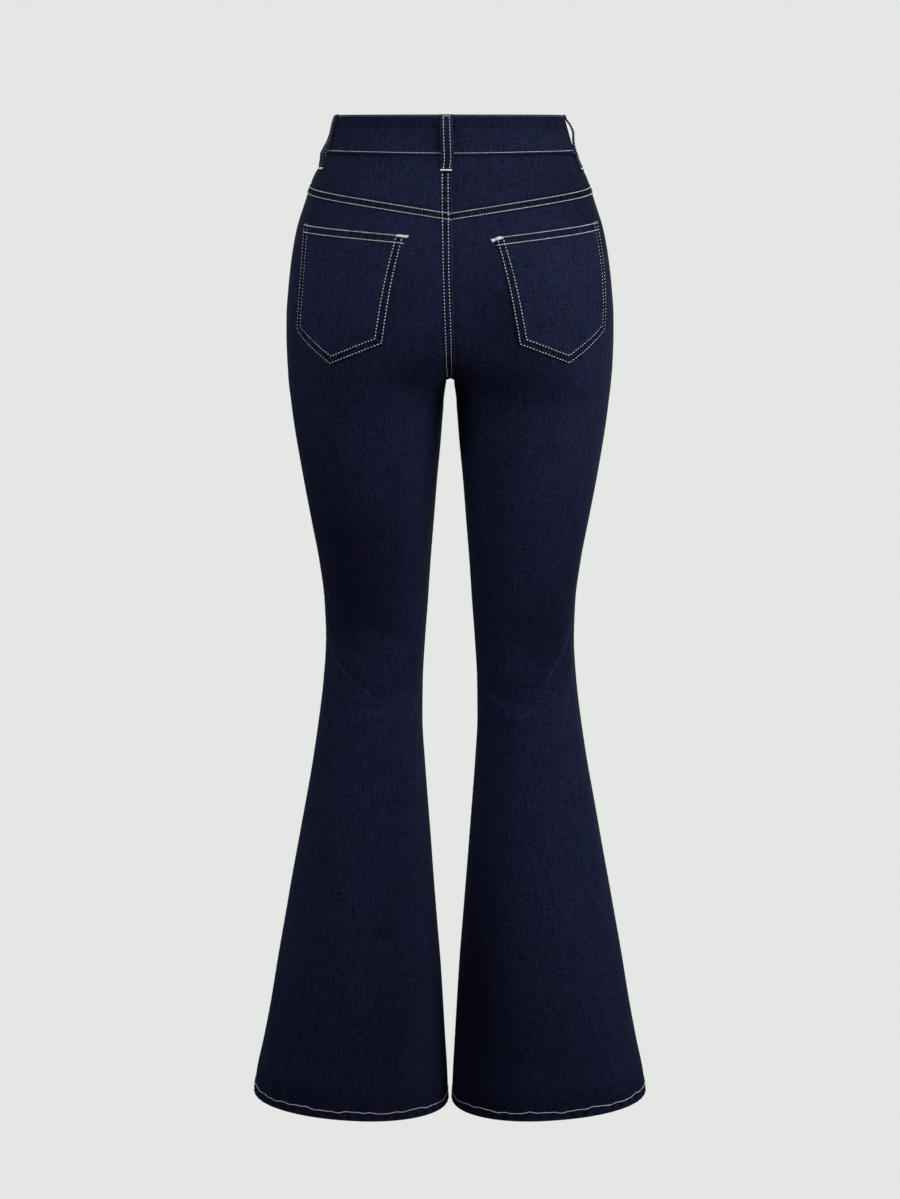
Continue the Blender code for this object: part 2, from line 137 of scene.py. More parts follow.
def bare_ring(angle, drop):
    """A point on the wearer's left leg with no folds: x, y and the ring's mean radius."""
    middle, inward, outward, front, back = ring_sizes(drop)
    turn = np.radians(angle)
    cosine, sine = np.cos(turn), np.sin(turn)
    across = np.where(cosine >= 0, inward, outward)
    deep = np.where(sine >= 0, back, front)
    share = np.abs(cosine / across) ** SQUARENESS + np.abs(sine / deep) ** SQUARENESS
    reach = share ** (-1 / SQUARENESS)
    clear = np.interp(drop, *CLEARANCE)
    x = clear + SOFTNESS * np.logaddexp(0, (middle - reach * cosine - clear) / SOFTNESS)
    return x, reach * sine, (outward + (front + back) / 2) / 2


x, y, _ = bare_ring(np.arange(360.0), np.full(360, KNEE_DROP))
around = np.hypot(x - np.roll(x, 1), y - np.roll(y, 1)).sum()
print(f"the knee measures {around:.0f} mm round")

# %% [markdown]
# ## Folds
#
# Stretch denim stays smooth over the thigh and gathers behind the knee, where a short curved
# crease hangs below soft ridges. Each fold is a soft ridge or trough with its own length, width
# and height, and no two are alike. Cloth simulation could make creases too, but it wouldn't
# put them where this pair has them. The large folds are in the frame's own solids, and the fine
# ones are only here.

# %% The folds, large and fine
LARGE_FOLDS = [
    # leg, angle, drop, tilt, half length, half width, height
    ("left", 72, 552, -19, 30, 8, -1.4),
    ("left", 135, 582, -40, 34, 9, -1.8),
    ("left", 96, 612, -31, 22, 9, -1.9),
    ("left", 60, 611, 25, 26, 9, -2.0),
    ("left", 112, 578, -34, 34, 11, 1.2),
    ("left", 138, 650, -61, 42, 10, 1.6),
    ("left", 42, 731, 88, 105, 10, 1.5),
    ("left", 64, 284, -36, 40, 13, -1.5),
    ("right", 135, 568, -53, 38, 9, -1.8),
    ("right", 47, 611, 19, 26, 9, -1.8),
    ("right", 79, 621, 9, 20, 9, -2.0),
    ("right", 107, 611, -35, 24, 9, -1.8),
    ("right", 84, 592, 4, 36, 11, 1.2),
    ("right", 38, 743, 87, 60, 10, 1.5),
    ("right", 144, 815, 98, 82, 12, 1.4),
    ("right", 71, 306, -35, 62, 14, -2.2),
    ("left", 236, 598, 10, 40, 11, -1.8),
    ("left", 292, 566, -14, 34, 10, -1.5),
    ("right", 248, 588, -8, 44, 11, -1.9),
    ("right", 300, 560, 12, 30, 9, -1.4),
    ("left", 300, 318, 34, 42, 11, -1.6),
    ("right", 302, 330, 38, 48, 12, -1.7),
]
FINE_FOLDS = [
    # leg, angle, drop, tilt, half length, half width, height
    ("left", 127.5, 665, 84, 30, 4.2, 1.3),
    ("left", 42.5, 676, 92, 34, 4.4, 1.2),
    ("right", 26, 672, 90, 34, 4.2, 1.2),
    ("right", 142, 694, 96, 26, 4.4, 1.2),
    ("left", 92, 627, -8, 18, 3.2, -1.3),
    ("left", 55, 622, 24, 15, 3.0, -1.1),
    ("left", 76, 634, 6, 20, 3.4, 0.7),
    ("left", 82, 541, -14, 24, 4.0, -0.7),
    ("left", 118, 560, -34, 22, 4.0, -0.6),
    ("left", 60, 575, 10, 20, 4.5, 0.6),
    ("right", 92, 606, -6, 20, 3.6, -1.1),
    ("right", 52, 618, 22, 16, 3.4, -0.8),
    ("right", 60, 634, 14, 16, 3.6, 0.6),
    ("right", 70, 556, 8, 22, 4.2, -0.5),
    ("right", 124, 590, -48, 20, 3.8, -0.7),
    ("left", 250, 580, 6, 26, 4.0, -0.7),
    ("right", 262, 606, -10, 24, 4.2, -0.7),
    ("left", 312, 300, 40, 26, 5.0, -0.7),
    ("right", 314, 306, 44, 30, 5.0, -0.7),
]
print(f"{len(LARGE_FOLDS)} large folds, {len(FINE_FOLDS)} fine ones")


def folds_at(leg, angle, drop, girth, folds):
    """How far these folds lift the cloth. girth is the ring's mean radius."""
    lift = np.zeros(np.broadcast(angle, drop).shape)
    for fold_leg, fold_angle, fold_drop, tilt, half_length, half_width, height in folds:
        if fold_leg != leg:
            continue
        round_way = np.radians(angle - fold_angle) * girth
        down_way = drop - fold_drop
        slope = math.radians(tilt)
        along = round_way * math.cos(slope) + down_way * math.sin(slope)
        across = down_way * math.cos(slope) - round_way * math.sin(slope)
        lift += height * np.exp(-((along / half_length) ** 2) - (across / half_width) ** 2)
    return lift


# %% [markdown]
# ## From a place on the cloth to a point in space
#
# `surface` is the one function that every later piece uses. It lifts the ring by its folds,
# finds which way the cloth faces there, and moves out along it. A pocket is the same call as
# the leg under it, only further out, so nothing has to be fitted afterwards. The right leg is
# the left one's mirror image with folds of its own.

# %% The surface
TURN_STEP, DROP_STEP = 0.4, 0.8


def folded(leg, angle, drop):
    """A point on the left leg, lifted by the folds of the leg that is named."""
    x, y, girth = bare_ring(angle, drop)
    lift = folds_at(leg, angle, drop, girth, LARGE_FOLDS + FINE_FOLDS)
    turn = np.radians(angle)
    return np.stack([x - lift * np.cos(turn), y + lift * np.sin(turn), -drop], axis=-1)


def surface(leg, angle, drop, out=0.0):
    """Points on the jeans, and which way the cloth faces, for a leg named left or right."""
    angle, drop, out = np.broadcast_arrays(*(np.asarray(v, dtype=float) for v in (angle, drop, out)))
    around = folded(leg, angle + TURN_STEP, drop) - folded(leg, angle - TURN_STEP, drop)
    down = folded(leg, angle, drop + DROP_STEP) - folded(leg, angle, drop - DROP_STEP)
    facing = np.cross(around, down)
    facing /= np.linalg.norm(facing, axis=-1, keepdims=True)
    points = folded(leg, angle, drop) + facing * out[..., None]
    side = (-1, 1, 1) if leg == "right" else (1, 1, 1)
    return points * side, facing * side


def inner_angle(drop, behind):
    """The angle of the edge at the centre line, or of the inseam below the crotch."""
    middle, inward, _, front, back = ring_sizes(drop)
    cut = middle - SEAM_GAP / 2
    share = np.clip(np.abs(cut / inward), 0, 1) ** SQUARENESS
    height = np.where(behind, back, front) * (1 - share) ** (1 / SQUARENESS) * (drop < CROTCH_DROP)
    angle = np.maximum(np.degrees(np.arctan2(height, cut)), np.degrees(SEAM_GAP / 2 / inward))
    return angle if behind else 360 - angle


SHARES = np.linspace(0, 1, 61)


def ring_steps(drop, first, last):
    """Angles from the first to the last at each drop, and the millimetres of cloth between them."""
    angles = first[..., None] + (last - first)[..., None] * SHARES
    x, y, _ = bare_ring(angles, drop[..., None] + 0 * SHARES)
    return angles, np.hypot(np.diff(x), np.diff(y))


def panel_run(drop, first, last):
    """The way round from the first angle to the last, in millimetres."""
    return ring_steps(drop, first, last)[1].sum(axis=-1)


def spread_angles(drop, first, last, place):
    """The angle at each place, from 0 to 1, of the way round, and the whole way in millimetres."""
    angles, steps = ring_steps(drop, first, last)
    run = np.concatenate([np.zeros(steps.shape[:-1] + (1,)), steps.cumsum(axis=-1)], axis=-1)
    goal = place * run[..., -1]
    each = zip(goal.ravel(), run.reshape(-1, len(SHARES)), angles.reshape(-1, len(SHARES)))
    return np.array([np.interp(*one) for one in each]).reshape(goal.shape), run[..., -1]


# %% [markdown]
# ## Where the pieces end
#
# These short functions are the cutting lines: the waistband's lower edge, the yoke's V, the
# scooped front pocket and the hem. They match the frame's solids, so each finer wall stays
# where its plain piece is.

# %% The cutting lines
HEM_DROP, HEM_INNER_DIP, HEM_BACK_DIP = 1075.0, 5.7, 3.5
BAND_HEIGHT, BAND_SIDE_RISE = 41.0, 2.0
YOKE_SIDE_DROP, YOKE_BACK_DROP, YOKE_BOW = 70.9, 99.2, -2.5
SCOOP_START, SCOOP_DROP, SCOOP_TOP, SCOOP_ROUND = 0.52, 112.0, 42.0, 0.62
SIDE_RADIUS = 110.0


def hem_drop(angle):
    """The hem's folded edge, which hangs lowest at the inner side and the back."""
    turn = np.radians(angle)
    return HEM_DROP + HEM_INNER_DIP * np.cos(turn) + HEM_BACK_DIP * np.sin(turn)


def band_low(angle):
    """The waistband's lower edge."""
    return BAND_HEIGHT - BAND_SIDE_RISE * np.cos(np.radians(angle)) ** 2


def yoke_seam(place):
    """The yoke's lower seam, from the centre back at place 0 to the side at 1."""
    return YOKE_BACK_DROP + (YOKE_SIDE_DROP - YOKE_BACK_DROP) * place + YOKE_BOW * np.sin(math.pi * place)


def scoop(place):
    """The front panel's top edge, which dips in a scoop to the side seam."""
    top = band_low(CENTRE_FRONT + (SIDE_SEAM - CENTRE_FRONT) * place) + SEAM_GAP
    along = np.clip((place - SCOOP_START) / (1 - SCOOP_START), 0, 1)
    return top + (SCOOP_DROP - top) * (1 - (1 - along) ** 2) ** SCOOP_ROUND


def seam_edge(angle, away):
    """Half a seam's gap before the seam, where away is -1, or past it, where away is 1."""
    return angle + away * math.degrees(SEAM_GAP / 2 / SIDE_RADIUS)


print(f"the yoke's V is {YOKE_BACK_DROP - YOKE_SIDE_DROP:.0f} mm deep")

# %% [markdown]
# ## A wall of cloth
#
# Denim has a dark face and a pale back, and a hem or a pocket mouth shows both. So each piece
# is a closed wall: an outer grid with the face, an inner grid with the back, and a narrow rim.
# The Solidify modifier could add the thickness, but two grids let the outside carry seams and
# puckers while the inside stays plain. The grid's own run in metres becomes the UV map, so the
# weave has its real scale and follows the cut of each piece.

# %% Build a wall from two grids
# Each piece is cut further along the roll of cloth, in metres, so no two have the same streaks
ROLL_STEP = 0.43
SHARP_FROM = 60.0
roll_places = itertools.count()


def cloth_wall(name, outside, inside, run, wear_and_painted_light=None):
    """A closed wall. run is each point's place on the flat cut, in millimetres across and down."""
    rows, columns = outside.shape[:2]
    count = rows * columns
    index = np.arange(count).reshape(rows, columns)
    quads = np.stack([index[:-1, :-1], index[:-1, 1:], index[1:, 1:], index[1:, :-1]], axis=-1)
    quads = quads.reshape(-1, 4)
    edge = np.concatenate([index[:, 0], index[-1, 1:], index[-2::-1, -1], index[0, -2:0:-1]])
    ahead = np.roll(edge, -1)
    rim = np.stack([edge, ahead, ahead + count, edge + count], axis=-1)
    faces = np.concatenate([quads, quads[:, ::-1] + count, rim])
    points = np.concatenate([outside.reshape(-1, 3), inside.reshape(-1, 3)]) * MM
    mesh = bpy.data.meshes.new(name)
    mesh.from_pydata(points.tolist(), [], faces.tolist())
    if signed_volume(points, faces) < 0:
        mesh.flip_normals()
    backs = np.zeros(len(faces), dtype=np.int32)
    backs[len(quads):2 * len(quads)] = 1
    mesh.polygons.foreach_set("material_index", backs)
    corners = np.zeros(len(mesh.loops), dtype=np.int32)
    mesh.loops.foreach_get("vertex_index", corners)
    flat = np.concatenate([run.reshape(-1, 2), run.reshape(-1, 2)]) * MM + (ROLL_STEP * next(roll_places), 0)
    mesh.uv_layers.new(name="cut").data.foreach_set("uv", flat[corners].ravel())
    # Each outer point's number: worn paler places and painted highlights above zero, painted shade below it.
    # The inner points have none.
    worn_and_lit_points = np.zeros(2 * count) if wear_and_painted_light is None else np.concatenate([wear_and_painted_light.ravel(), np.zeros(count)])
    mesh.attributes.new("wear_and_painted_light", "FLOAT", "POINT").data.foreach_set("value", worn_and_lit_points)
    mesh.shade_smooth()
    mesh.set_sharp_from_angle(angle=math.radians(SHARP_FROM))
    return placed(name, mesh)


def placed(name, data):
    """A new object in the scene, made from its data."""
    made = bpy.data.objects.new(name, data)
    bpy.context.scene.collection.objects.link(made)
    return made


def signed_volume(points, faces):
    """Less than nothing where the faces look inward."""
    a, b, c, d = (points[faces[:, k]] for k in range(4))
    return (np.cross(a, b) * c).sum() + (np.cross(a, c) * d).sum()


def smooth_step(value, low, high):
    """0 below the low value, 1 above the high one and a soft change between them."""
    t = np.clip((value - low) / (high - low), 0, 1)
    return t * t * (3 - 2 * t)


def near_edge(distance, fade):
    """1 beside an edge and 0 away from it. The change is between the fade's two distances."""
    return 1 - smooth_step(distance, *fade)


def ridge(distance, half_width):
    """1 on a line, and softly less on both sides of it."""
    return np.exp(-((distance / half_width) ** 2))


def grid_area(points):
    """The area of a grid of points, in square metres."""
    first = np.cross(points[:-1, 1:] - points[:-1, :-1], points[1:, :-1] - points[:-1, :-1])
    second = np.cross(points[1:, :-1] - points[1:, 1:], points[:-1, 1:] - points[1:, 1:])
    return (np.linalg.norm(first, axis=-1).sum() + np.linalg.norm(second, axis=-1).sum()) / 2 * MM * MM


# %% [markdown]
# ## Puckers
#
# Thread is a little tighter than the cloth it holds, so a sewn seam ripples. The ripple is
# short and shallow beside a seam and turns into slanting ropes at a hem. A plain sine looks
# like a machine, so its phase drifts and its height swells and fades along the seam.

# %% Ripples along a seam
# From one crest to the next, in millimetres
PITCH = {
    "fell": 10.5, "folded edge": 9.5, "side seam": 12.0, "inseam": 11.0, "hem": 12.5,
    "band top": 10.0, "band low": 11.0, "pocket": 9.0, "loop": 8.5,
}
# Each leg's ripples start from a number of its own
SEED = {"left": 1.0, "right": 2.3}


def pucker(along, pitch, seed):
    """From -1 to 1, an uneven ripple along a seam."""
    drift = 0.9 * np.sin(along / 37.0 + seed) + 0.5 * np.sin(along / 13.7 + 2.1 * seed)
    swell = 0.62 + 0.38 * np.sin(along / 53.0 + 1.3 * seed)
    return swell * np.sin(2 * math.pi * along / pitch + drift)


def soft_waves(across, down, seed):
    """From about -1 to 1, the broad unevenness of cloth that has been handled."""
    waves = 0.5 * np.sin(across / 23.0 + 1.1 * np.sin(down / 61.0 + seed) + seed)
    waves += 0.5 * np.sin(down / 41.0 + 1.3 * np.sin(across / 33.0 + 2 * seed) + 1.7 * seed)
    return waves + 0.35 * np.sin((across * 0.8 + down * 0.5) / 15.0 + 0.7 * seed)


print("ripple heights:", np.round(pucker(np.arange(0, 40, 8.0), PITCH["folded edge"], SEED["left"]), 2))

# %% [markdown]
# ## Legs
#
# A leg panel is sewn on every side, and what its edges do is what makes it read as jeans.
# At the centre back the left panel laps over the right in a felled seam about 9 mm wide, so
# its edge stands up and ripples. Below the yoke both panels' top edges fold over the yoke in
# the same way. The hem is turned up twice, and it ropes. The grid is closer together near its
# edges, where these low ridges are, and coarser over the plain cloth.
#
# No light may show through a seam, so every seam has one piece that laps over and one that
# runs on beneath it, as it does when cloth is sewn. Those hidden strips are a few millimetres
# wide and lie just inside the piece above them.

# %% Rows and columns that are closer at the edges
CLOTH, HEM_INNER_TURN = 1.2, 1.1
FELL = 9.2
# How far from its edge each doubled strip of cloth begins to step down, and ends
FELL_FADE = (FELL - 0.6, FELL + 1.0)
ALLOWANCE_FADE, INSEAM_FADE = (10.0, 12.5), (6.0, 8.0)
HEM_FADE, HEM_INNER_FADE = (9.4, 11.2), (9.0, 11.0)
ROW_IN, ROW_OUT = 1.8, 7.8
# How far a piece laps over or runs on beneath its neighbour, and how deep a hidden strip's two faces lie
LAP, UNDER, UNDER_OUT, UNDER_IN = 2.2, 7.0, -1.3, -2.2
INTO_BAND, PAST_FADE = 1.5, (0.02, 0.4)
# Going down, the felled seam drifts over to the wearer's right: at each drop, how far
SEAM_DRIFT = ((80, 158, 232, 268), (0, 0.6, 2.9, 4.2))
# Columns of a strip that runs on past a seam, as shares of its width
PAST_STEPS = np.array([1, 0.93, 0.82, 0.66, 0.4, 0.18, 0.06])
# How far from an edge the closest columns are, in millimetres
EDGE_STEPS = np.array([0, 0.5, 1.2, 2.2, 3.6, 5.2, 6.8, 8.0, 8.9, 9.6, 10.6, 12.5, 15.5])


def edge_spaced(length, step, steps=EDGE_STEPS):
    """Shares of a length, closer together near both ends."""
    first = steps / length
    count = max(3, int(round((length - 2 * steps[-1]) / step)))
    middle = np.linspace(first[-1], 1 - first[-1], count + 1)[1:-1]
    return np.concatenate([first, middle, 1 - first[::-1]])


PANEL_WIDTH, COLUMN_STEP, ROW_STEP = 225.0, 4.4, 4.6
TOP_LEVEL, LEVEL_FROM, LEVEL_TO = 90.0, 230.0, 900.0
KNEE_FROM, KNEE_TO = 520.0, 650.0
CROWD, CROWD_FROM = 12.0, 196.0
CROTCH_ROWS = (264, 267, 269.5, 271.5, 273, 273.6, 274, 274.3, 274.7, 275, 275.6, 276.6, 278, 280)


def leg_levels():
    """The drops of a leg panel's rows, closer at both ends, at the crotch and behind the knee."""
    plain = TOP_LEVEL + edge_spaced(HEM_DROP - TOP_LEVEL, ROW_STEP) * (HEM_DROP - TOP_LEVEL)
    clear = (plain < CROTCH_ROWS[0] - 2) | (plain > CROTCH_ROWS[-1] + 2)
    knee = plain[(plain > KNEE_FROM) & (plain < KNEE_TO)]
    between = (knee[1:] + knee[:-1]) / 2
    return np.sort(np.concatenate([plain[clear], CROTCH_ROWS, between]))[:, None]


def crowded(place, whole, drop, behind):
    """Places above the crotch: the columns that run beneath it are drawn together at the centre."""
    crotch = np.array([CROTCH_DROP])
    full = panel_run(crotch, inner_angle(crotch, behind), np.array([SIDE_SEAM]))[0]
    to_side = (1 - place) * full
    zone = whole - CROWD
    to_side = np.where(to_side < zone, to_side, whole - CROWD * (full - to_side) / (full - zone))
    weight = smooth_step(drop, CROWD_FROM, CROTCH_DROP - 0.4) * (drop < CROTCH_DROP)
    return place + (1 - to_side / whole - place) * weight


def leg_places(at_top, below, tops, behind):
    """Angles and drops of a leg panel's fine grid, with its columns' shares at the top and below."""
    levels = leg_levels() + 0 * tops
    rise = (LEVEL_FROM - tops) / (LEVEL_FROM - TOP_LEVEL)
    drop = np.where(levels < LEVEL_FROM, LEVEL_FROM - (LEVEL_FROM - levels) * rise, levels)
    low = (levels - LEVEL_TO) / (HEM_DROP - LEVEL_TO)
    side = seam_edge(SIDE_SEAM, -1 if behind else 1)
    blend = smooth_step(drop.mean(axis=1), SCOOP_DROP, CROTCH_DROP)[:, None]
    place = at_top * (1 - blend) + below * blend
    side = np.full(drop.shape, side)
    for _ in range(2):
        first = inner_angle(drop, behind)
        spread = crowded(place, panel_run(drop, first, side), drop, behind)
        angle, whole = spread_angles(drop, first, side, spread)
        drop = np.where(low > 0, LEVEL_TO + low * (hem_drop(angle) - LEVEL_TO), drop)
    return angle, drop, spread * whole, whole


COLUMNS = edge_spaced(PANEL_WIDTH, COLUMN_STEP)
print(f"a leg panel has {len(COLUMNS)} columns and {len(leg_levels())} rows")


# %% Distances along the cloth
def degree_run(angle, drop):
    """How many millimetres of cloth one degree is, at a place."""
    x, y, _ = bare_ring(angle + 0.5, drop)
    back_x, back_y, _ = bare_ring(angle - 0.5, drop)
    return np.hypot(x - back_x, y - back_y)


def fine_line(angle, drop, step=1.3):
    """The same line of places, a step of cloth apart."""
    angle, drop = np.asarray(angle, dtype=float), np.asarray(drop, dtype=float)
    middle = (angle[1:] + angle[:-1]) / 2
    run = degree_run(middle, (drop[1:] + drop[:-1]) / 2)
    along = np.concatenate([[0], np.hypot(np.diff(angle) * run, np.diff(drop)).cumsum()])
    places = np.linspace(0, along[-1], max(2, int(along[-1] / step) + 1))
    return np.interp(places, along, angle), np.interp(places, along, drop)


def distance_to(line, angle, drop):
    """How far each place is from a line of (angle, drop) places."""
    run = degree_run(angle, drop)
    nearest = np.full(angle.shape, np.inf)
    for line_angle, line_drop in zip(*line):
        nearest = np.minimum(nearest, np.hypot((angle - line_angle) * run, drop - line_drop))
    return nearest


GRAIN_BEHIND, GRAIN_IN_FRONT = 125.0, 240.0


def grain_run(drop, behind):
    """From the middle of a panel, where the cloth's grain runs straight down, to the side seam."""
    angle = np.linspace(GRAIN_BEHIND if behind else GRAIN_IN_FRONT, SIDE_SEAM, 25)
    x, y, _ = bare_ring(angle, drop[..., None] + 0 * angle)
    return np.hypot(np.diff(x), np.diff(y)).sum(axis=-1)


def angle_at(from_centre, drop, behind):
    """The angle this many millimetres of cloth away from the centre line."""
    first, last = inner_angle(drop, behind), np.full(drop.shape, SIDE_SEAM)
    whole = spread_angles(drop, first, last, 0 * drop)[1]
    return spread_angles(drop, first, last, from_centre / whole)[0]


def scoop_line(count=160):
    """Places along the edge of the scooped front pocket."""
    place = SCOOP_START + (1 - SCOOP_START) * np.linspace(0, 1, count) ** 2.2
    drop = scoop(place)
    last = np.full(drop.shape, SIDE_SEAM)
    return spread_angles(drop, inner_angle(drop, False), last, place)[0], drop


FLY_WIDTH, FLY_STRAIGHT, FLY_END = 36.0, 150.0, 197.0


def fly_width(drop):
    """How far the fly's stitching is from the centre front, down to where its curve ends."""
    turn = np.clip((drop - FLY_STRAIGHT) / (FLY_END - FLY_STRAIGHT), 0, 1)
    return FLY_WIDTH * np.sqrt(1 - turn ** 2)


print(f"one degree is {float(degree_run(90.0, 150.0)):.2f} mm at the seat")

# %% [markdown]
# ## Painted shade and painted light
#
# Indigo lies on the outside of the yarn, so cloth that is worn goes pale. Shade and light are
# painted on too: a few soft patches in a table darken the cloth where it falls in shadow, and a
# few make it paler where light falls. A painted mask could show them, but a table is easier to
# move. They, the small creases behind the knees, which are paler along their tops, partly worn
# and partly a painted highlight, and the seams' edges go into one number for each point. The
# material turns it darker below zero and paler above.

# %% Where shade and light are painted on the cloth
PAINTED_SHADING = [
    # leg, angle, drop, half width, half height, how much painted shade (less than nothing for painted light)
    ("left", 108, 432, 75, 50, 0.32),
    ("left", 108, 510, 78, 62, 0.48),
    ("right", 140, 470, 34, 90, 0.30),
    ("right", 100, 540, 60, 45, 0.20),
    ("left", 64, 262, 42, 18, 0.30),
    ("right", 68, 262, 58, 22, 0.24),
    ("right", 92, 212, 28, 48, 0.42),
    ("left", 94, 200, 24, 42, 0.22),
    ("right", 168, 95, 48, 95, 0.42),
    ("left", 168, 95, 42, 95, 0.32),
    ("right", 110, 560, 40, 55, 0.28),
    ("left", 60, 880, 30, 170, 0.24),
    ("right", 118, 325, 60, 85, -0.14),
    ("right", 165, 500, 28, 190, -0.17),
    ("right", 100, 284, 48, 18, 0.22),
    ("right", 36, 950, 46, 130, 0.55),
    ("left", 150, 340, 40, 120, 0.32),
    ("left", 90, 1010, 110, 70, 0.22),
    ("right", 90, 1010, 110, 70, 0.18),
    ("right", 90, 62, 90, 24, 0.14),
]
# Near enough, for a soft patch, how many millimetres one degree is
PATCH_DEGREE = 1.45
# Painted shade that deepens toward the hem, and how far above the hem that shade fades
HEM_PAINTED_SHADE, HEM_PAINTED_SHADE_FADE = 0.34, (4, 46)


def painted_shading_at(leg, angle, drop):
    """How much painted shade there is. Less than nothing is painted light."""
    much = np.zeros(angle.shape)
    for dark_leg, dark_angle, dark_drop, half_width, half_height, most in PAINTED_SHADING:
        if dark_leg == leg:
            aside = (angle - dark_angle) * PATCH_DEGREE / half_width
            much += most * np.exp(-(aside ** 2) - ((drop - dark_drop) / half_height) ** 2)
    return much


print(f"{len(PAINTED_SHADING)} darker or paler places")


# %% Creases behind the knees, paler along their tops: partly worn, partly a painted highlight
KNEE_CREASES = [
    # leg, the angles and the drops that it passes, how pale
    ("left", (150, 138, 126, 113, 93), (564, 572, 582, 597, 611), 0.85),
    ("left", (21, 31, 39, 44), (600, 608, 619, 642), 0.70),
    ("right", (153, 146, 138, 117, 105), (543, 552, 562, 585, 603), 0.80),
    ("right", (148, 140, 132), (594, 607, 625), 0.60),
    ("right", (31, 46, 58), (598, 613, 623), 0.80),
]
KNEE_CREASE_WIDTH, KNEE_CREASE_HEIGHT = 2.2, 0.45


def knee_creases(leg, angle, drop):
    """From 0 to 1, how much of a small crease each place is."""
    most = np.zeros(angle.shape)
    for crease_leg, angles, drops, pale in KNEE_CREASES:
        if crease_leg == leg:
            gap = distance_to(fine_line(angles, drops), angle, drop)
            most = np.maximum(most, pale * ridge(gap, KNEE_CREASE_WIDTH))
    return most


print(f"{len(KNEE_CREASES)} creases behind the knees")


# %% How a leg panel's edges stand up
def felled_edge(leg, from_centre, drop, number):
    """How far the cloth stands out beside the centre seam, in millimetres, and how worn, painted lighter or
    painted darker it is.
    """
    lapping = 1.0 if leg == "left" else 0.25
    from_centre = from_centre + np.interp(drop, *SEAM_DRIFT) * (1 if leg == "left" else -1)
    ripple = pucker(drop, PITCH["fell"], number)
    fell = near_edge(from_centre, FELL_FADE)
    out = fell * (0.5 * lapping + 0.18 * ripple)
    for row in (ROW_IN, ROW_OUT):
        out -= 0.16 * ridge(from_centre - row, 0.7)
    # Worn paler on the ripples' crests, and darker over the doubled strip: painted shade between the rows.
    wear_and_painted_light = fell * lapping * (0.72 * ripple - 0.32)
    if leg == "left":
        from_edge = from_centre + LAP
        out += 0.45 * ridge(from_edge, 2.6)
        roll = np.sqrt(1 - (1 - np.clip(from_edge, 0, 1)) ** 2)
        out = out * roll - 0.1 * (1 - roll)
        # A pale line along the lapped edge's roll: a painted highlight.
        wear_and_painted_light = wear_and_painted_light + ridge(from_edge - 0.8, 1.3) * (0.8 + 0.2 * ripple)
    return out, wear_and_painted_light


def leg_relief(leg, behind, angle, drop, from_centre, whole, tops):
    """How far a panel stands out everywhere, in millimetres, and how worn, painted lighter or painted darker
    each place is.
    """
    to_side = whole - from_centre
    above_hem = hem_drop(angle) - drop
    number = SEED[leg] + (0.0 if behind else 4.0)
    out = 0.22 * soft_waves(from_centre, drop, number)

    above_crotch = near_edge(drop, (CROTCH_DROP - 14, CROTCH_DROP))
    felled, wear_and_painted_light = felled_edge(leg, from_centre, drop, number)
    out += felled * above_crotch
    wear_and_painted_light *= above_crotch

    if behind:
        edge_gap = drop - tops
        edge_run = from_centre
    else:
        edge_gap = distance_to(scoop_line(), angle, drop)
        edge_run = drop + from_centre
        if leg == "left":
            fly = smooth_step(fly_width(drop) - from_centre, -1.2, 1.2) * (drop < FLY_END)
            out += 0.45 * fly * smooth_step(from_centre, 0, FELL)
    folded_over = near_edge(edge_gap, FELL_FADE)
    ripple = pucker(edge_run, PITCH["folded edge"], number + 1)
    out += folded_over * (0.55 + 0.20 * ripple) - 0.45 * ridge(edge_gap, 0.8)
    # The folded edge: worn paler on its crests, darker between its rows (painted shade), and a pale line at
    # the fold (a painted highlight).
    wear_and_painted_light = wear_and_painted_light + folded_over * (0.66 * ripple - 0.28) + 0.45 * ridge(edge_gap - 0.7, 0.8)

    allowance = near_edge(to_side, ALLOWANCE_FADE)
    ripple = pucker(drop, PITCH["side seam"], number + 2)
    out += 0.22 * allowance * (0.6 + 0.4 * ripple) - 0.45 * ridge(to_side, 1.0)
    wear_and_painted_light = wear_and_painted_light + 0.25 * allowance * ripple
    inseam = near_edge(from_centre, INSEAM_FADE) * (1 - above_crotch)
    out += 0.25 * inseam * (0.6 + 0.5 * pucker(drop, PITCH["inseam"], number + 3))
    out -= 0.35 * ridge(from_centre, 0.6) * (1 - above_crotch)

    turned = near_edge(above_hem, HEM_FADE)
    rope = pucker(from_centre + 0.9 * above_hem, PITCH["hem"], number + 5)
    out += turned * (0.35 + 0.30 * rope)
    wear_and_painted_light = wear_and_painted_light + turned * (0.1 + 0.6 * rope) + 0.6 * ridge(above_hem, 1.4)
    if behind:
        crease = knee_creases(leg, angle, drop)
        out += KNEE_CREASE_HEIGHT * crease
        # The creases' tops are paler: partly worn, partly a painted highlight.
        wear_and_painted_light = wear_and_painted_light + crease
    # Painted shade from the table, and painted shade that deepens toward the hem.
    dark = painted_shading_at(leg, angle, drop) + HEM_PAINTED_SHADE * near_edge(above_hem, HEM_PAINTED_SHADE_FADE)
    return out, np.clip(wear_and_painted_light - dark, -1, 1)


# %% Let a panel run on past its seams
def past_centre(leg, behind, drop):
    """How far a panel runs past the centre or the inseam at each drop, and 1 where it's on top."""
    high = drop < CROTCH_DROP
    on_top = np.where(high, leg == "left", behind)
    low_reach = 0.12 if behind else UNDER
    lap = LAP + np.interp(drop, *SEAM_DRIFT)
    reach = np.where(high, lap if leg == "left" else UNDER, low_reach)
    return reach * (1 - 0.9 * ridge(drop - CROTCH_DROP, 4.0)), on_top.astype(float)


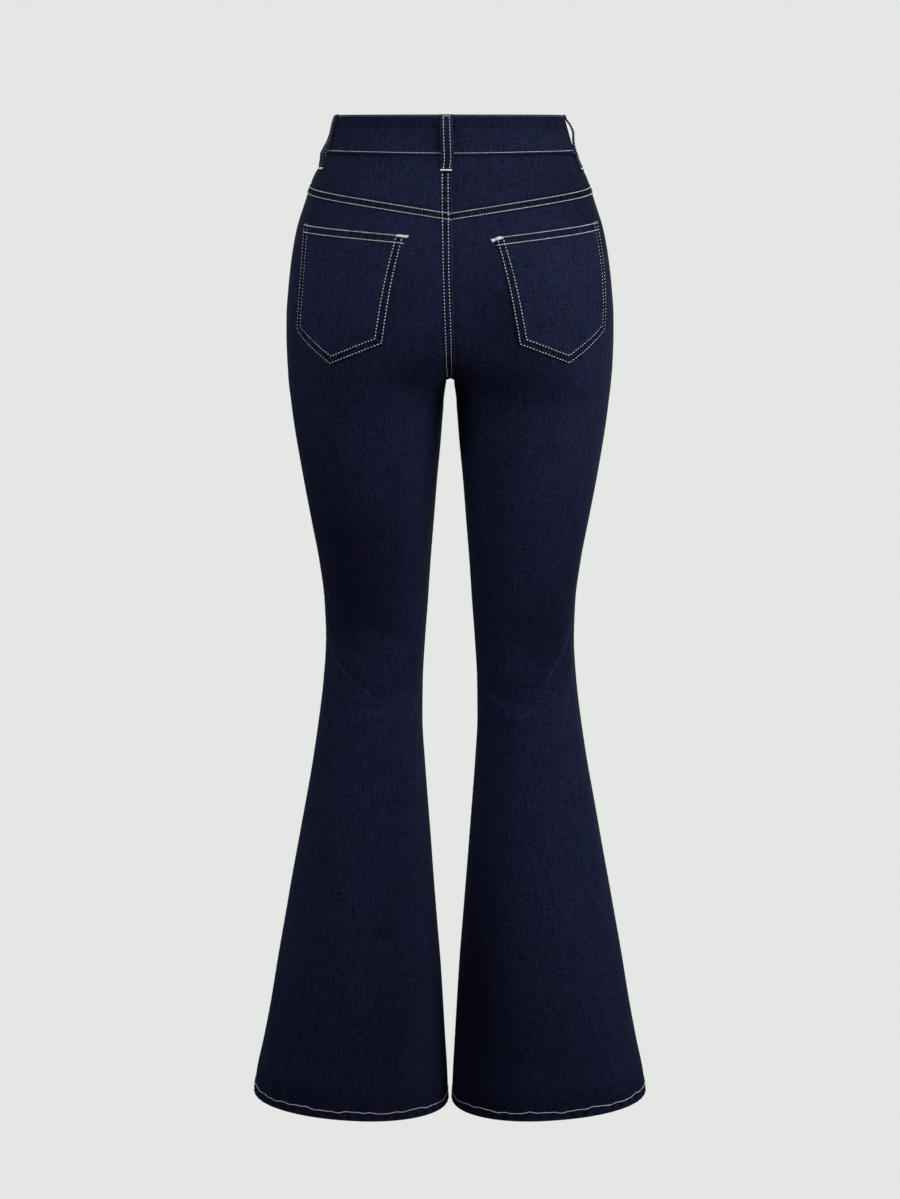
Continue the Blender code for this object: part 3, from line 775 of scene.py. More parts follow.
def run_past(leg, behind, angle, drop, from_centre, whole):
    """The grid with columns added past the centre or inseam and, in front, past the side seam."""
    way = 1 if behind else -1
    reach, _ = past_centre(leg, behind, drop[:, :1])
    before = reach * PAST_STEPS
    after = np.zeros((len(drop), 0)) if behind else UNDER * PAST_STEPS[::-1] + 0 * drop[:, :1]
    first = angle[:, :1] - way * before / degree_run(angle[:, :1], drop[:, :1])
    last = angle[:, -1:] + way * after / degree_run(angle[:, -1:], drop[:, -1:])
    angle = np.concatenate([first, angle, last], axis=1)
    drop = np.concatenate([drop[:, :1] + 0 * before, drop, drop[:, -1:] + 0 * after], axis=1)
    from_centre = np.concatenate([-before, from_centre, whole[:, -1:] + after], axis=1)
    return angle, drop, from_centre, whole[:, :1] + 0 * drop


def panel_points(leg, behind, angle, drop, from_centre, out):
    """Points on a panel, on the other leg's side where it runs past the centre line."""
    points, _ = surface(leg, angle, drop, out)
    over = (from_centre < 0).any(axis=0)
    other = "right" if leg == "left" else "left"
    across = angle_at(np.maximum(-from_centre[:, over], 0), drop[:, over], behind)
    mirrored, _ = surface(other, across, drop[:, over], out[:, over])
    points[:, over] = np.where((drop[:, over] < CROTCH_DROP)[..., None], mirrored, points[:, over])
    return points


def tucked(out, inner, under, on_top):
    """The two faces' heights, moved beneath the neighbour or up on top of it."""
    out = out * (1 - under) + UNDER_OUT * under
    inner = inner * (1 - under) + (UNDER_IN + np.minimum(inner + CLOTH, 0)) * under
    return out, inner * (1 - on_top) + 0.1 * on_top


# %% Make the leg panels
def leg_panel(leg, behind, name):
    """The finer wall of one leg panel, and its outer grid."""
    if behind:
        at_top = below = COLUMNS
        tops = yoke_seam(COLUMNS) + SEAM_GAP / 2
    else:
        bend = SCOOP_START + (1 - SCOOP_START) * np.linspace(0, 1, 46)[1:] ** 1.8
        at_top = np.concatenate([COLUMNS[COLUMNS < SCOOP_START], bend])
        below = np.interp(np.linspace(0, 1, len(at_top)), np.linspace(0, 1, len(COLUMNS)), COLUMNS)
        tops = scoop(at_top)
    angle, drop, from_centre, whole = leg_places(at_top, below, tops, behind)
    angle, drop, from_centre, whole = run_past(leg, behind, angle, drop, from_centre, whole)
    first, extra = len(PAST_STEPS), drop.shape[1] - len(at_top) - len(PAST_STEPS)
    tops = np.concatenate([np.full(first, tops[0]), tops, np.full(extra, tops[-1])])
    out, wear_and_painted_light = leg_relief(leg, behind, angle, drop, from_centre, whole, tops)
    above_hem = hem_drop(angle) - drop
    inner = -CLOTH - HEM_INNER_TURN * near_edge(above_hem, HEM_INNER_FADE)
    _, on_top = past_centre(leg, behind, drop)
    past = smooth_step(-from_centre, *PAST_FADE)
    under = np.maximum(past * (1 - on_top), smooth_step(from_centre - whole, *PAST_FADE))
    out, inner = tucked(out, inner, under, past * on_top)
    into_band = (drop < tops + 0.01) & (angle > CENTRE_BACK) & (not behind)
    drop = np.where(into_band & (tops < SCOOP_TOP), drop - INTO_BAND, drop)
    outside = panel_points(leg, behind, angle, drop, from_centre, out)
    inside = panel_points(leg, behind, angle, drop, from_centre, inner)
    turn = -1 if behind == (leg == "left") else 1
    run = np.stack([turn * (from_centre - whole + grain_run(drop, behind)), drop], axis=-1)
    return cloth_wall(name, outside, inside, run, wear_and_painted_light), outside


panels = {}
grids = {}
for leg in ("left", "right"):
    for behind, kind in ((True, "back"), (False, "front")):
        name = f"{kind}_leg_{leg}"
        panels[name], grids[name] = leg_panel(leg, behind, f"denim_{name}")
        print(f"{name}: {grid_area(grids[name]):.3f} square metres, {len(panels[name].data.polygons)} faces")

# %% [markdown]
# ## Yoke and pocket facings
#
# The yoke shapes the back over the hips without darts. It is smooth, and its lower edge runs
# in under the legs' folded edge. The facing is the strip of denim that shows inside each
# scooped front pocket. Each could be a flat pattern piece that is bent to the hips, but a grid on
# the same surface as the legs meets them without any fitting.

# %% The yoke and the facings
YOKE_ROWS = 18
FACING_OUT, FACING_IN = -2.4, -3.6
FACING_COLUMNS, FACING_ROWS, FACING_RISE, FACING_DEPTH = 26, 22, 6.0, 24.0


def yoke(leg):
    """One half of the yoke, which runs in beneath its leg's folded edge, and its outer grid."""
    share = np.linspace(0, 1, YOKE_ROWS)[:, None]
    angle = CENTRE_BACK + (SIDE_SEAM - CENTRE_BACK) * COLUMNS + 0 * share
    low = yoke_seam(COLUMNS) - SEAM_GAP / 2
    for _ in range(2):
        top = band_low(angle) + SEAM_GAP
        drop = top + (low - top) * share
        side = np.full(drop.shape, seam_edge(SIDE_SEAM, -1))
        angle, whole = spread_angles(drop, inner_angle(drop, True), side, COLUMNS + 0 * drop)
    below = UNDER * PAST_STEPS[::-1, None]
    angle = np.concatenate([angle[:1], angle, angle[-1:] + 0 * below])
    drop = np.concatenate([drop[:1] - INTO_BAND, drop, low + below])
    whole = np.concatenate([whole[:1], whole, whole[-1:] + 0 * below])
    angle, drop, from_centre, whole = run_past(leg, True, angle, drop, COLUMNS * whole, whole)
    top, low = drop[1:2], drop[YOKE_ROWS:YOKE_ROWS + 1]
    number = SEED[leg]
    felled, wear_and_painted_light = felled_edge(leg, from_centre, drop, number)
    out = 0.15 * soft_waves(from_centre, drop, number + 6) + felled
    out += 0.16 * pucker(from_centre, PITCH["folded edge"], number + 7) * ridge(drop - low, 9.0)
    out -= 0.35 * ridge(drop - top, 2.0) + 0.30 * ridge(drop - low, 1.6)
    # A painted shadow just under the waistband's lower edge, then the table's painted shade.
    wear_and_painted_light = np.clip(wear_and_painted_light - 0.55 * ridge(drop - top - 0.8, 1.6), -1, 1)
    wear_and_painted_light = wear_and_painted_light - painted_shading_at(leg, angle, drop)
    past = smooth_step(-from_centre, *PAST_FADE)
    on_top = past * (leg == "left")
    under = np.maximum(past * (leg == "right"), smooth_step(drop - low, 0.02, 0.5))
    out, inner = tucked(out, -CLOTH + 0 * out, under, on_top * (drop <= low))
    outside = panel_points(leg, True, angle, drop, from_centre, out)
    inside = panel_points(leg, True, angle, drop, from_centre, inner)
    run = np.stack([from_centre * (-1 if leg == "left" else 1), drop], axis=-1)
    return cloth_wall(f"denim_yoke_{leg}", outside, inside, run, wear_and_painted_light), outside


def facing(leg):
    """It runs up behind the band, and a little way past the side seam under the yoke."""
    place = np.linspace(SCOOP_START - 0.03, 1, FACING_COLUMNS)
    share = np.linspace(0, 1, FACING_ROWS)[:, None]
    top = band_low(CENTRE_FRONT + (SIDE_SEAM - CENTRE_FRONT) * place) - FACING_RISE
    drop = top + (scoop(place) + FACING_DEPTH - top) * share
    side = np.full(drop.shape, seam_edge(SIDE_SEAM, 1))
    angle, whole = spread_angles(drop, inner_angle(drop, False), side, place + 0 * drop)
    angle = np.concatenate([angle, angle[:, -1:] - 2, angle[:, -1:] - 4], axis=1)
    drop = np.concatenate([drop, drop[:, -1:], drop[:, -1:]], axis=1)
    across = np.concatenate([place * whole, whole[:, -1:] + 4, whole[:, -1:] + 8], axis=1)
    outside, _ = surface(leg, angle, drop, FACING_OUT)
    inside, _ = surface(leg, angle, drop, FACING_IN)
    run = np.stack([across * (1 if leg == "left" else -1), drop], axis=-1)
    return cloth_wall(f"denim_pocket_facing_{leg}", outside, inside, run), outside


for leg in ("left", "right"):
    panels[f"yoke_{leg}"], grids[f"yoke_{leg}"] = yoke(leg)
    panels[f"pocket_facing_{leg}"], grids[f"pocket_facing_{leg}"] = facing(leg)
print(f"a yoke half is {grid_area(grids['yoke_left']) * 1e4:.0f} square centimetres")

# %% [markdown]
# ## Waistband
#
# The waistband is one long strip folded along its top edge, so it is the thickest cloth on the
# jeans and keeps a round top. Its ends lap at the centre front. The strip is swept round the
# waist as a closed outline, with its fold at the top, and it ripples between its two rows of
# stitches. A third of the way down, a soft step shows where the edge that is turned in ends.

# %% Sweep the waistband
LAPPED_TO, UNDER_TO, BAND_COLUMNS = 271.4, -112.0, 300
BAND_OUT, BAND_IN, BAND_LAP = 0.7, -1.9, 1.6
BAND_STEP_DROP = 13.5
BAND_DROPS = np.array([
    0.0, 0.25, 0.9, 1.9, 3.2, 6, 9, 11.5, 12.6, 13.5, 14.4, 15.5, 18, 22, 26, 30, 34, 37, 38.6, 39.6, 40.4,
    41.0])


def band_lift(angle):
    """How far the lapping end stands out, and the end under it sinks in."""
    over = BAND_LAP * np.clip((angle - 250.0) / 6.0, 0, 1)
    return over - BAND_LAP * np.clip((-80.0 - angle) / 6.0, 0, 1)


def waistband():
    """The whole band from its lapping end round to the end beneath, and its outer grid."""
    turns = np.linspace(LAPPED_TO, UNDER_TO, BAND_COLUMNS)
    down = BAND_DROPS / BAND_HEIGHT
    drop = down[:, None] * band_low(turns)
    angle = turns + 0 * drop
    x, y, _ = bare_ring(turns, np.full(turns.shape, 20.0))
    along = np.concatenate([[0], np.hypot(np.diff(x), np.diff(y)).cumsum()]) + 0 * drop
    round_top = np.clip(1 - drop / 1.5, 0, 1) ** 2
    top_ripple = pucker(along, PITCH["band top"], 0.4)
    low_ripple = pucker(along, PITCH["band low"], 1.9)
    out = BAND_OUT + band_lift(angle) - 1.1 * round_top
    pressed = 0.8 + 0.2 * np.sin(along / 47.0) + 0.12 * np.sin(along / 17.0)
    out += np.interp(drop, (0, 13, 30), (0.6, 1.0, 0)) * pressed
    out -= 0.30 * pressed * ridge(drop - BAND_STEP_DROP, 1.3)
    out += 0.22 * top_ripple * ridge(drop - 4, 5.0)
    out += 0.30 * low_ripple * ridge(drop - 35, 6.0)
    out += 0.40 * soft_waves(along, drop, 3.1) * ridge(drop - 20, 12.0)
    out -= 0.25 * ridge(drop - BAND_HEIGHT, 0.8)
    inner = BAND_IN + band_lift(angle) + 0.9 * round_top
    outside, _ = surface("left", angle, drop, out)
    inside, _ = surface("left", angle, drop, inner)
    # Paler lines along both edges: partly worn, partly a painted highlight.
    top_edge = ridge(drop, 1.2) * (0.6 + 0.4 * top_ripple)
    low_edge = ridge(drop - 40, 1.5) * (0.4 + 0.4 * low_ripple)
    # Painted shade: the band's upper third is darker, and so is the band away from the centre back.
    dark = 0.30 * (1 - smooth_step(drop, 9 + 3 * pressed, 15 + 3 * pressed))
    dark = dark + 0.26 * smooth_step(np.abs(angle - CENTRE_BACK), 48, 82)
    run = np.stack([along, drop], axis=-1)
    return cloth_wall("denim_waistband", outside, inside, run, top_edge + low_edge - dark), outside


panels["waistband"], grids["waistband"] = waistband()
print(f"the waistband strip is {grid_area(grids['waistband']) / (BAND_HEIGHT * MM):.2f} m long")

# %% [markdown]
# ## Back pockets
#
# A back pocket is a patch with a turned hem at its mouth and narrow turned edges elsewhere. The
# doubled cloth at its edges stands up, rolls over and ripples, and its mouth stands a little
# off the leg in the middle. The Shrinkwrap modifier could lay a flat patch on the leg, but here
# the patch is the leg's own surface moved out, on a grid that runs from the mouth down to the
# V, so its edges stay straight and its gape is easy to set.

# %% Cut the back pockets
POCKETS = {
    # leg: top inner, top outer, low inner, low outer, tip's drop and share of the way out, bow
    "left": ((101.1, 122.6), (159.3, 113.4), (92.3, 233.5), (145.0, 223.9), (256.3, 0.45), -2.0),
    "right": ((100.4, 124.6), (161.6, 110.8), (93.1, 234.6), (146.6, 223.0), (255.7, 0.424), 1.8),
}
POCKET_OUT, POCKET_IN, POCKET_GAPE = 1.9, 0.7, 0.9
POCKET_WIDTH, POCKET_DEPTH, POCKET_STEP = 118.0, 125.0, 4.2
MOUTH_HEM, POCKET_TURN = 9.6, 8.5
MOUTH_FADE = (MOUTH_HEM - 0.6, MOUTH_HEM + 0.9)
TURN_FADE = (POCKET_TURN - 0.6, POCKET_TURN + 0.8)
# A step down the patch comes this much nearer to the slanting sides of the V
V_SLOPE = 0.9
PATCH_STEPS = np.array([0, 0.35, 0.8, 1.5, 2.6, 4.2, 6.0, 7.2, 8.2, 9.4, 10.4, 12.5])


def pocket_place(leg, place, level):
    """The angle and drop at a place across the pocket and a level down it, both from 0 to 1."""
    top_inner, top_outer, low_inner, low_outer, (tip, tip_place), bow = POCKETS[leg]
    inner = top_inner[0] + (low_inner[0] - top_inner[0]) * level
    outer = top_outer[0] + (low_outer[0] - top_outer[0]) * level + bow * np.sin(math.pi * level)
    top = top_inner[1] + (top_outer[1] - top_inner[1]) * place
    low = np.interp(place, (0, tip_place, 1), (low_inner[1], tip, low_outer[1]))
    return inner + (outer - inner) * place, top + (low - top) * level


def back_pocket(leg):
    """A patch with a column that runs down to the V's tip, and its outer grid."""
    columns = edge_spaced(POCKET_WIDTH, POCKET_STEP, PATCH_STEPS)
    columns = np.unique(np.append(columns, POCKETS[leg][4][1]))
    level = edge_spaced(POCKET_DEPTH, POCKET_STEP, PATCH_STEPS)[:, None]
    place = columns + 0 * level
    angle, drop = pocket_place(leg, place, level)
    width = (degree_run(angle, drop) * np.gradient(angle, axis=1)).sum(axis=1, keepdims=True)
    height = drop[-1] - drop[0]
    from_inner, from_outer = place * width, (1 - place) * width
    from_top, from_low = level * height, (1 - level) * height * V_SLOPE
    from_edge = np.minimum(np.minimum(from_inner, from_outer), from_low)
    from_any = np.minimum(from_edge, from_top)
    number = 6.0 if leg == "left" else 8.3

    hem, turned = near_edge(from_top, MOUTH_FADE), near_edge(from_edge, TURN_FADE)
    hem_ripple = pucker(from_inner, PITCH["pocket"], number)
    edge_ripple = pucker(from_inner + drop, PITCH["pocket"], number + 1)
    gape = POCKET_GAPE * np.sin(math.pi * place) ** 2 * np.exp(-from_top / 26.0)
    out = POCKET_OUT + gape + 0.24 * soft_waves(from_inner, drop, number)
    out += hem * (0.40 + 0.16 * hem_ripple) + turned * (0.16 + 0.16 * edge_ripple)
    out -= (out - POCKET_IN - gape - 0.25) * ridge(from_any, 0.6)
    # Worn paler on the ripples' crests and darker between the rows, which is painted shade; then a pale line
    # along the rolled edges, a painted highlight.
    hem_wear_and_shade, edge_wear_and_shade = hem * (0.6 * hem_ripple - 0.22), turned * (0.75 * edge_ripple - 0.32)
    wear_and_painted_light = np.where(from_top < MOUTH_HEM, hem_wear_and_shade, edge_wear_and_shade)
    wear_and_painted_light += 0.45 * ridge(from_any - 0.6, 0.7)
    outside, _ = surface(leg, angle, drop, out)
    inside, _ = surface(leg, angle, drop, POCKET_IN + gape)
    run = np.stack([from_inner * (-1 if leg == "left" else 1), from_top], axis=-1)
    return cloth_wall(f"denim_back_pocket_{leg}", outside, inside, run, wear_and_painted_light), outside


for leg in ("left", "right"):
    panels[f"back_pocket_{leg}"], grids[f"back_pocket_{leg}"] = back_pocket(leg)
print(f"a back pocket has {len(panels['back_pocket_left'].data.polygons)} faces")

# %% [markdown]
# ## Belt loops
#
# A belt loop is a strip folded in three, stitched down both sides and tacked to the band at its
# ends, so it bows away from the band in between. A simulation could bend the strips, but a
# curve through nine heights lets each one bow and lean in its own way.

# %% Fold the belt loops
LOOP_WIDTH, LOOP_THICKNESS, LOOP_TOP, LOOP_BOTTOM, LOOP_ROWS = 13.0, 1.8, 0.0, 59.0, 46
LOOP_EDGE, LOOP_END = 0.9, 0.8
LOOP_COLUMNS = np.array([-1, -0.97, -0.9, -0.78, -0.6, -0.35, 0, 0.35, 0.6, 0.78, 0.9, 0.97, 1])
LOOP_DROPS = (0, 5, 12, 19, 27, 35, 42, 50, 59)
LOOPS = [
    # name, leg, angle at its top and at its bottom, and how far it stands off at each of LOOP_DROPS
    ("belt_loop_back", "left", 92.4, 91.1, (1.0, 1.8, 3.6, 5.6, 6.3, 5.2, 3.2, 1.2, 0.6)),
    ("belt_loop_side_left", "left", 170.5, 164.4, (1.0, 2.6, 2.6, 2.2, 2.9, 4.7, 6.2, 4.2, 0.6)),
    ("belt_loop_side_right", "right", 180.0, 170.0, (0.9, 1.3, 3.7, 4.6, 2.6, 1.3, 1.3, 0.5, 0.3)),
    ("belt_loop_front_left", "left", 229.0, 229.5, (1.0, 2.0, 3.6, 5.0, 5.4, 4.4, 2.8, 1.2, 0.6)),
    ("belt_loop_front_right", "right", 229.0, 228.0, (1.0, 1.5, 3.0, 4.6, 5.2, 4.9, 3.4, 1.6, 0.6)),
]


def loop_angle(ends, drop, aside):
    """The angle this many millimetres from a loop's middle line, which may lean."""
    middle = np.interp(drop, (LOOP_TOP, LOOP_BOTTOM), ends)
    return middle + aside / degree_run(middle, drop)


def belt_loop(name, leg, angle_top, angle_low, stand_off):
    """One loop, with its edges rolled over and its ends pressed flat, and its outer grid."""
    across = LOOP_COLUMNS
    ends_at = (LOOP_TOP, LOOP_TOP + LOOP_END, LOOP_BOTTOM - LOOP_END, LOOP_BOTTOM)
    drop = np.interp(np.linspace(0, 1, LOOP_ROWS), (0, 0.06, 0.94, 1), ends_at)[:, None]
    bow = np.column_stack([LOOP_DROPS, stand_off]).astype(float)
    inner = curve_through(bow, drop[:, 0]) + 0 * across
    ripple = pucker(drop, PITCH["loop"], angle_low) * (np.abs(across) > 0.35)
    full = LOOP_THICKNESS * (1 - 0.35 * np.abs(across) ** 6) + 0.10 * ripple
    rolled = np.clip((1 - np.abs(across)) * LOOP_WIDTH / 2 / LOOP_EDGE, 0, 1)
    ends = np.clip(np.minimum(drop - LOOP_TOP, LOOP_BOTTOM - drop), 0, 1)
    out = inner + full * (0.35 + 0.65 * np.sqrt(rolled * (2 - rolled))) * (0.4 + 0.6 * np.sqrt(ends))
    # A pale line along each rolled edge, a painted highlight, and the loop's middle a little darker, painted
    # shade.
    wear_and_painted_light = ridge(1 - np.abs(across), 0.16) * (0.8 + 0.2 * ripple) - 0.16
    angles = loop_angle((angle_top, angle_low), drop, LOOP_WIDTH / 2 * across)
    outside, _ = surface(leg, angles, drop, out)
    inside, _ = surface(leg, angles, drop, inner)
    turn = -1 if leg == "left" else 1
    run = np.stack([turn * across * LOOP_WIDTH / 2 + 0 * drop, drop + 0 * across], axis=-1)
    return cloth_wall(f"denim_{name}", outside, inside, run, wear_and_painted_light), outside


for loop in LOOPS:
    panels[loop[0]], grids[loop[0]] = belt_loop(*loop)
print(f"{len(LOOPS)} belt loops, {LOOP_WIDTH:.0f} mm wide")

# %% [markdown]
# ## Stitches
#
# Topstitching is the ornament of plain jeans, so every stitch is a real piece of thread: it
# comes up out of the cloth, lies across it and dives in again. A bump or a dashed line in the
# material would look flat from close by. A ray finds the cloth under each point of a row, so the
# thread lies on the seam's ripples, and all of a seam's stitches are joined in one mesh.

# %% Lay thread on cloth
from mathutils import Vector
from mathutils.bvhtree import BVHTree

# The thread's radius, a stitch's length with its gap, and how much of that shows as thread
BOLD = {"radius": 0.40, "length": 3.5, "dash": 0.42}
CLOSE = {"radius": 0.34, "length": 3.0, "dash": 0.70}
THIN = {"radius": 0.21, "length": 2.8, "dash": 0.80}
# A ray starts this far off the cloth in millimetres, and it reaches this far in metres
RAY_FROM, RAY_REACH = 14, 0.024
SIDES = 6
# Along one stitch: the places of its rings, how far each is off the cloth, and its share of the radius
ALONG_STITCH = np.array([0, 0.1, 0.32, 0.68, 0.9, 1])
STITCH_LIFT = np.array([-0.30, 0.06, 0.20, 0.20, 0.06, -0.30])
STITCH_SWELL = np.array([0.5, 0.95, 1.0, 1.0, 0.95, 0.5])


def cloth_tree(*names):
    """What a ray can hit: these pieces' faces."""
    points, faces = [], []
    for name in names:
        mesh = panels[name].data
        first = len(points)
        points += [v.co.copy() for v in mesh.vertices]
        faces += [[first + i for i in p.vertices] for p in mesh.polygons]
    return BVHTree.FromPolygons(points, faces)


def laid_on(tree, points, facing):
    """The points moved onto the outermost cloth, in millimetres, and which way it faces."""
    found = []
    for point, way in zip(points, facing):
        hit = tree.ray_cast(Vector((point + way * RAY_FROM) * MM), Vector(-way), RAY_REACH)[0]
        found.append(np.array(hit) / MM if hit else np.full(3, np.nan))
    found = np.array(found)
    kept = ~np.isnan(found[:, 0])
    return found[kept], facing[kept]


def on_cloth(tree, leg, angle, drop):
    """The places as points on the outermost cloth, and which way it faces."""
    return laid_on(tree, *surface(leg, angle, drop))


def thread_tubes(centres, facing, radius):
    """Vertices and faces of short tubes. centres has one row of points for each stitch."""
    count, steps = centres.shape[:2]
    ahead = np.gradient(centres, axis=1)
    ahead /= np.linalg.norm(ahead, axis=-1, keepdims=True)
    side = np.cross(ahead, facing)
    side /= np.linalg.norm(side, axis=-1, keepdims=True)
    up = np.cross(side, ahead)
    turn = np.arange(SIDES) * 2 * math.pi / SIDES
    spokes = np.cos(turn)[:, None] * side[:, :, None] + np.sin(turn)[:, None] * up[:, :, None]
    size = np.reshape(radius, (-1, 1)) * STITCH_SWELL
    points = centres[:, :, None] + spokes * size[..., None, None]
    first = (np.arange(count) * steps * SIDES)[:, None, None]
    ring = np.arange(SIDES)
    here = np.arange(steps - 1)[:, None] * SIDES + ring
    there = np.arange(steps - 1)[:, None] * SIDES + (ring + 1) % SIDES
    walls = np.stack([here, there, there + SIDES, here + SIDES], axis=-1)[None] + first[..., None]
    caps = np.stack([ring[::-1], ring + (steps - 1) * SIDES])[None] + first
    return points.reshape(-1, 3), walls.reshape(-1, 4).tolist() + caps.reshape(-1, SIDES).tolist()


def sew(points, facing, number, radius, length, dash, pull=((0, 1), (1, 1))):
    """A row of stitches along points on the cloth, pulled short and thin where pull is below one."""
    along = np.concatenate([[0], np.linalg.norm(np.diff(points, axis=0), axis=1).cumsum()])
    count = max(1, round(along[-1] / length))
    step = along[-1] / count
    draw = np.random.default_rng(number)
    pulled = np.interp((np.arange(count) + 0.5) / count, *pull)
    dashes = step * dash * draw.uniform(0.93, 1.07, (count, 1)) * (0.5 + 0.5 * pulled[:, None])
    starts = (np.arange(count)[:, None] + 0.5) * step - dashes / 2 + draw.uniform(-0.1, 0.1, (count, 1))
    places = starts + dashes * ALONG_STITCH
    centres = np.stack([np.interp(places, along, points[:, k]) for k in range(3)], axis=-1)
    ways = np.stack([np.interp(places, along, facing[:, k]) for k in range(3)], axis=-1)
    slant = draw.uniform(-0.12, 0.12, (count, 1, 1)) * (ALONG_STITCH[:, None] - 0.5) * 2
    ahead = centres[:, -1:] - centres[:, :1]
    beside = np.cross(ahead, ways)
    beside /= np.linalg.norm(beside, axis=-1, keepdims=True)
    centres = centres + ways * STITCH_LIFT[:, None] + beside * slant
    return thread_tubes(centres, ways, radius * draw.uniform(0.94, 1.08) * pulled)


def join_thread(name, parts):
    """One mesh from many rows of stitches."""
    points, faces, first = [], [], 0
    for row_points, row_faces in parts:
        points.append(row_points)
        faces += [[first + i for i in face] for face in row_faces]
        first += len(row_points)
    mesh = bpy.data.meshes.new(name)
    mesh.from_pydata((np.concatenate(points) * MM).tolist(), [], faces)
    mesh.shade_smooth()
    return placed(name, mesh)


# %% Rows, and the short bars that hold a corner
BAR_LEAN = 0.25
BAR_THREAD = 6


def moved_aside(angle, drop, aside):
    """The line moved to its right by some millimetres, seen from outside with the angle growing."""
    run = degree_run(angle, drop)
    across, down = np.gradient(angle) * run, np.gradient(drop)
    size = np.hypot(across, down)
    return angle - down / size * aside / run, drop + across / size * aside


def sew_line(tree, leg, line, number, aside=0.0, **thread):
    """A row along a line of (angle, drop) places, or beside it."""
    line = fine_line(*line)
    if aside:
        line = moved_aside(*line, aside)
    return sew(*on_cloth(tree, leg, *line), number, **thread)


def sew_from_centre(tree, leg, behind, from_centre, drop, number, **thread):
    """A row this far from the centre line, and over it where the distance is below zero."""
    own = surface(leg, angle_at(np.maximum(from_centre, 0), drop, behind), drop)
    other = "right" if leg == "left" else "left"
    across = surface(other, angle_at(np.maximum(-from_centre, 0), drop, behind), drop)
    over = (from_centre < 0)[:, None]
    places = (np.where(over, there, here) for here, there in zip(own, across))
    return sew(*laid_on(tree, *places), number, **thread)


def tack(tree, leg, start, end, number, width=2.0, radius=0.3):
    """A dense bar of thread from one place to another, its threads lying aslant across it."""
    draw = np.random.default_rng(number)
    line = fine_line((start[0], end[0]), (start[1], end[1]), step=0.5)
    run = degree_run(*line)
    across, down = np.gradient(line[0]) * run, np.gradient(line[1])
    size = np.hypot(across, down)
    rows = []
    for k in range(len(line[0])):
        half = width / 2 * draw.uniform(0.85, 1.12)
        share = np.linspace(-half, half, BAR_THREAD)
        lean = BAR_LEAN * across[k] / size[k] * share / run[k], BAR_LEAN * down[k] / size[k] * share
        angle = line[0][k] - down[k] / size[k] * share / run[k] + lean[0]
        drop = line[1][k] + across[k] / size[k] * share + lean[1]
        points, facing = on_cloth(tree, leg, angle, drop)
        if len(points) == BAR_THREAD:
            rows.append((points + facing * (STITCH_LIFT * 1.3 + 0.15)[:, None], facing))
    centres, ways = (np.array(part) for part in zip(*rows))
    return thread_tubes(centres, ways, radius)


# %% Sew the yoke and the centre back
# The share of the way along a row, and how loose its thread is there
SEAT_PULL = ((0, 0.5, 0.75, 1), (1, 0.95, 0.84, 0.80))
# The outer of the two seat rows swings: at each drop, how much nearer to the inner one it is
SEAT_NARROWED = ((100, 170, 240, 272), (0, 0.5, 0.4, -0.7))
thread = {}


def yoke_rows():
    """Two rows along each leg's top edge. The left ones run on over the lap at the centre."""
    parts = []
    for leg, start in (("left", -1.8), ("right", 2.6)):
        tree = cloth_tree(f"back_leg_{leg}", "back_leg_left")
        for number, below in enumerate((ROW_IN - 0.2, ROW_OUT)):
            share = np.linspace(0, 1, 190)
            drop = yoke_seam(share) + below
            side = np.full(drop.shape, SIDE_SEAM - 0.4)
            whole = spread_angles(drop, inner_angle(drop, True), side, share)[1]
            along = start + share * (whole - start)
            drop = yoke_seam(np.maximum(along, 0) / whole) + below - 0.18 * np.minimum(along, 0)
            parts.append(sew_from_centre(tree, leg, True, along, drop, 10 + number, **CLOSE))
    return parts


def centre_back_rows():
    """Two rows down the felled seam, which drift with it and are pulled tighter toward the crotch."""
    tree = cloth_tree("yoke_left", "back_leg_left")
    parts = []
    for number, from_edge in enumerate((ROW_IN, ROW_OUT)):
        drop = np.linspace(band_low(90.0) + 1.5, CROTCH_DROP - 1.2 - 2 * number, 190)
        narrowed = number * np.interp(drop, *SEAT_NARROWED)
        aside = from_edge - np.interp(drop, *SEAM_DRIFT) - narrowed
        row = sew_from_centre(tree, "left", True, aside, drop, 20 + number, pull=SEAT_PULL, **BOLD)
        parts.append(row)
    return parts


thread["thread_yoke"] = join_thread("thread_yoke", yoke_rows())
thread["thread_centre_back"] = join_thread("thread_centre_back", centre_back_rows())
print(f"the yoke has {len(thread['thread_yoke'].data.polygons)} faces of thread")


# %% Sew the pockets
PATCH_PULL = ((0, 0.50, 0.64, 1), (1, 1, 0.74, 0.70))
PATCH_ROWS = (1.3, 8.1)
# How far below the mouth each row is, and the place across where it begins
MOUTH_ROWS = ((1.4, 0.008), (8.4, -0.018))
INNER_BARS = {
    # leg: how far past the inner corner the bar starts and ends, the level of its start, its width
    "left": (-4.6, 7.6, 0.012, 2.7),
    "right": (-5.2, 6.8, 0.030, 3.1),
}


def pocket_size(leg, place, level):
    """How wide the pocket is at a level, and how deep at a place, in millimetres."""
    across = np.linspace(0, 1, 41)
    angle, drop = pocket_place(leg, across, np.asarray(level, dtype=float)[..., None])
    step = np.diff(angle, axis=-1)
    width = (degree_run(angle[..., 1:] - step / 2, drop[..., 1:]) * step).sum(axis=-1)
    return width, pocket_place(leg, place, 1.0)[1] - pocket_place(leg, place, 0.0)[1]


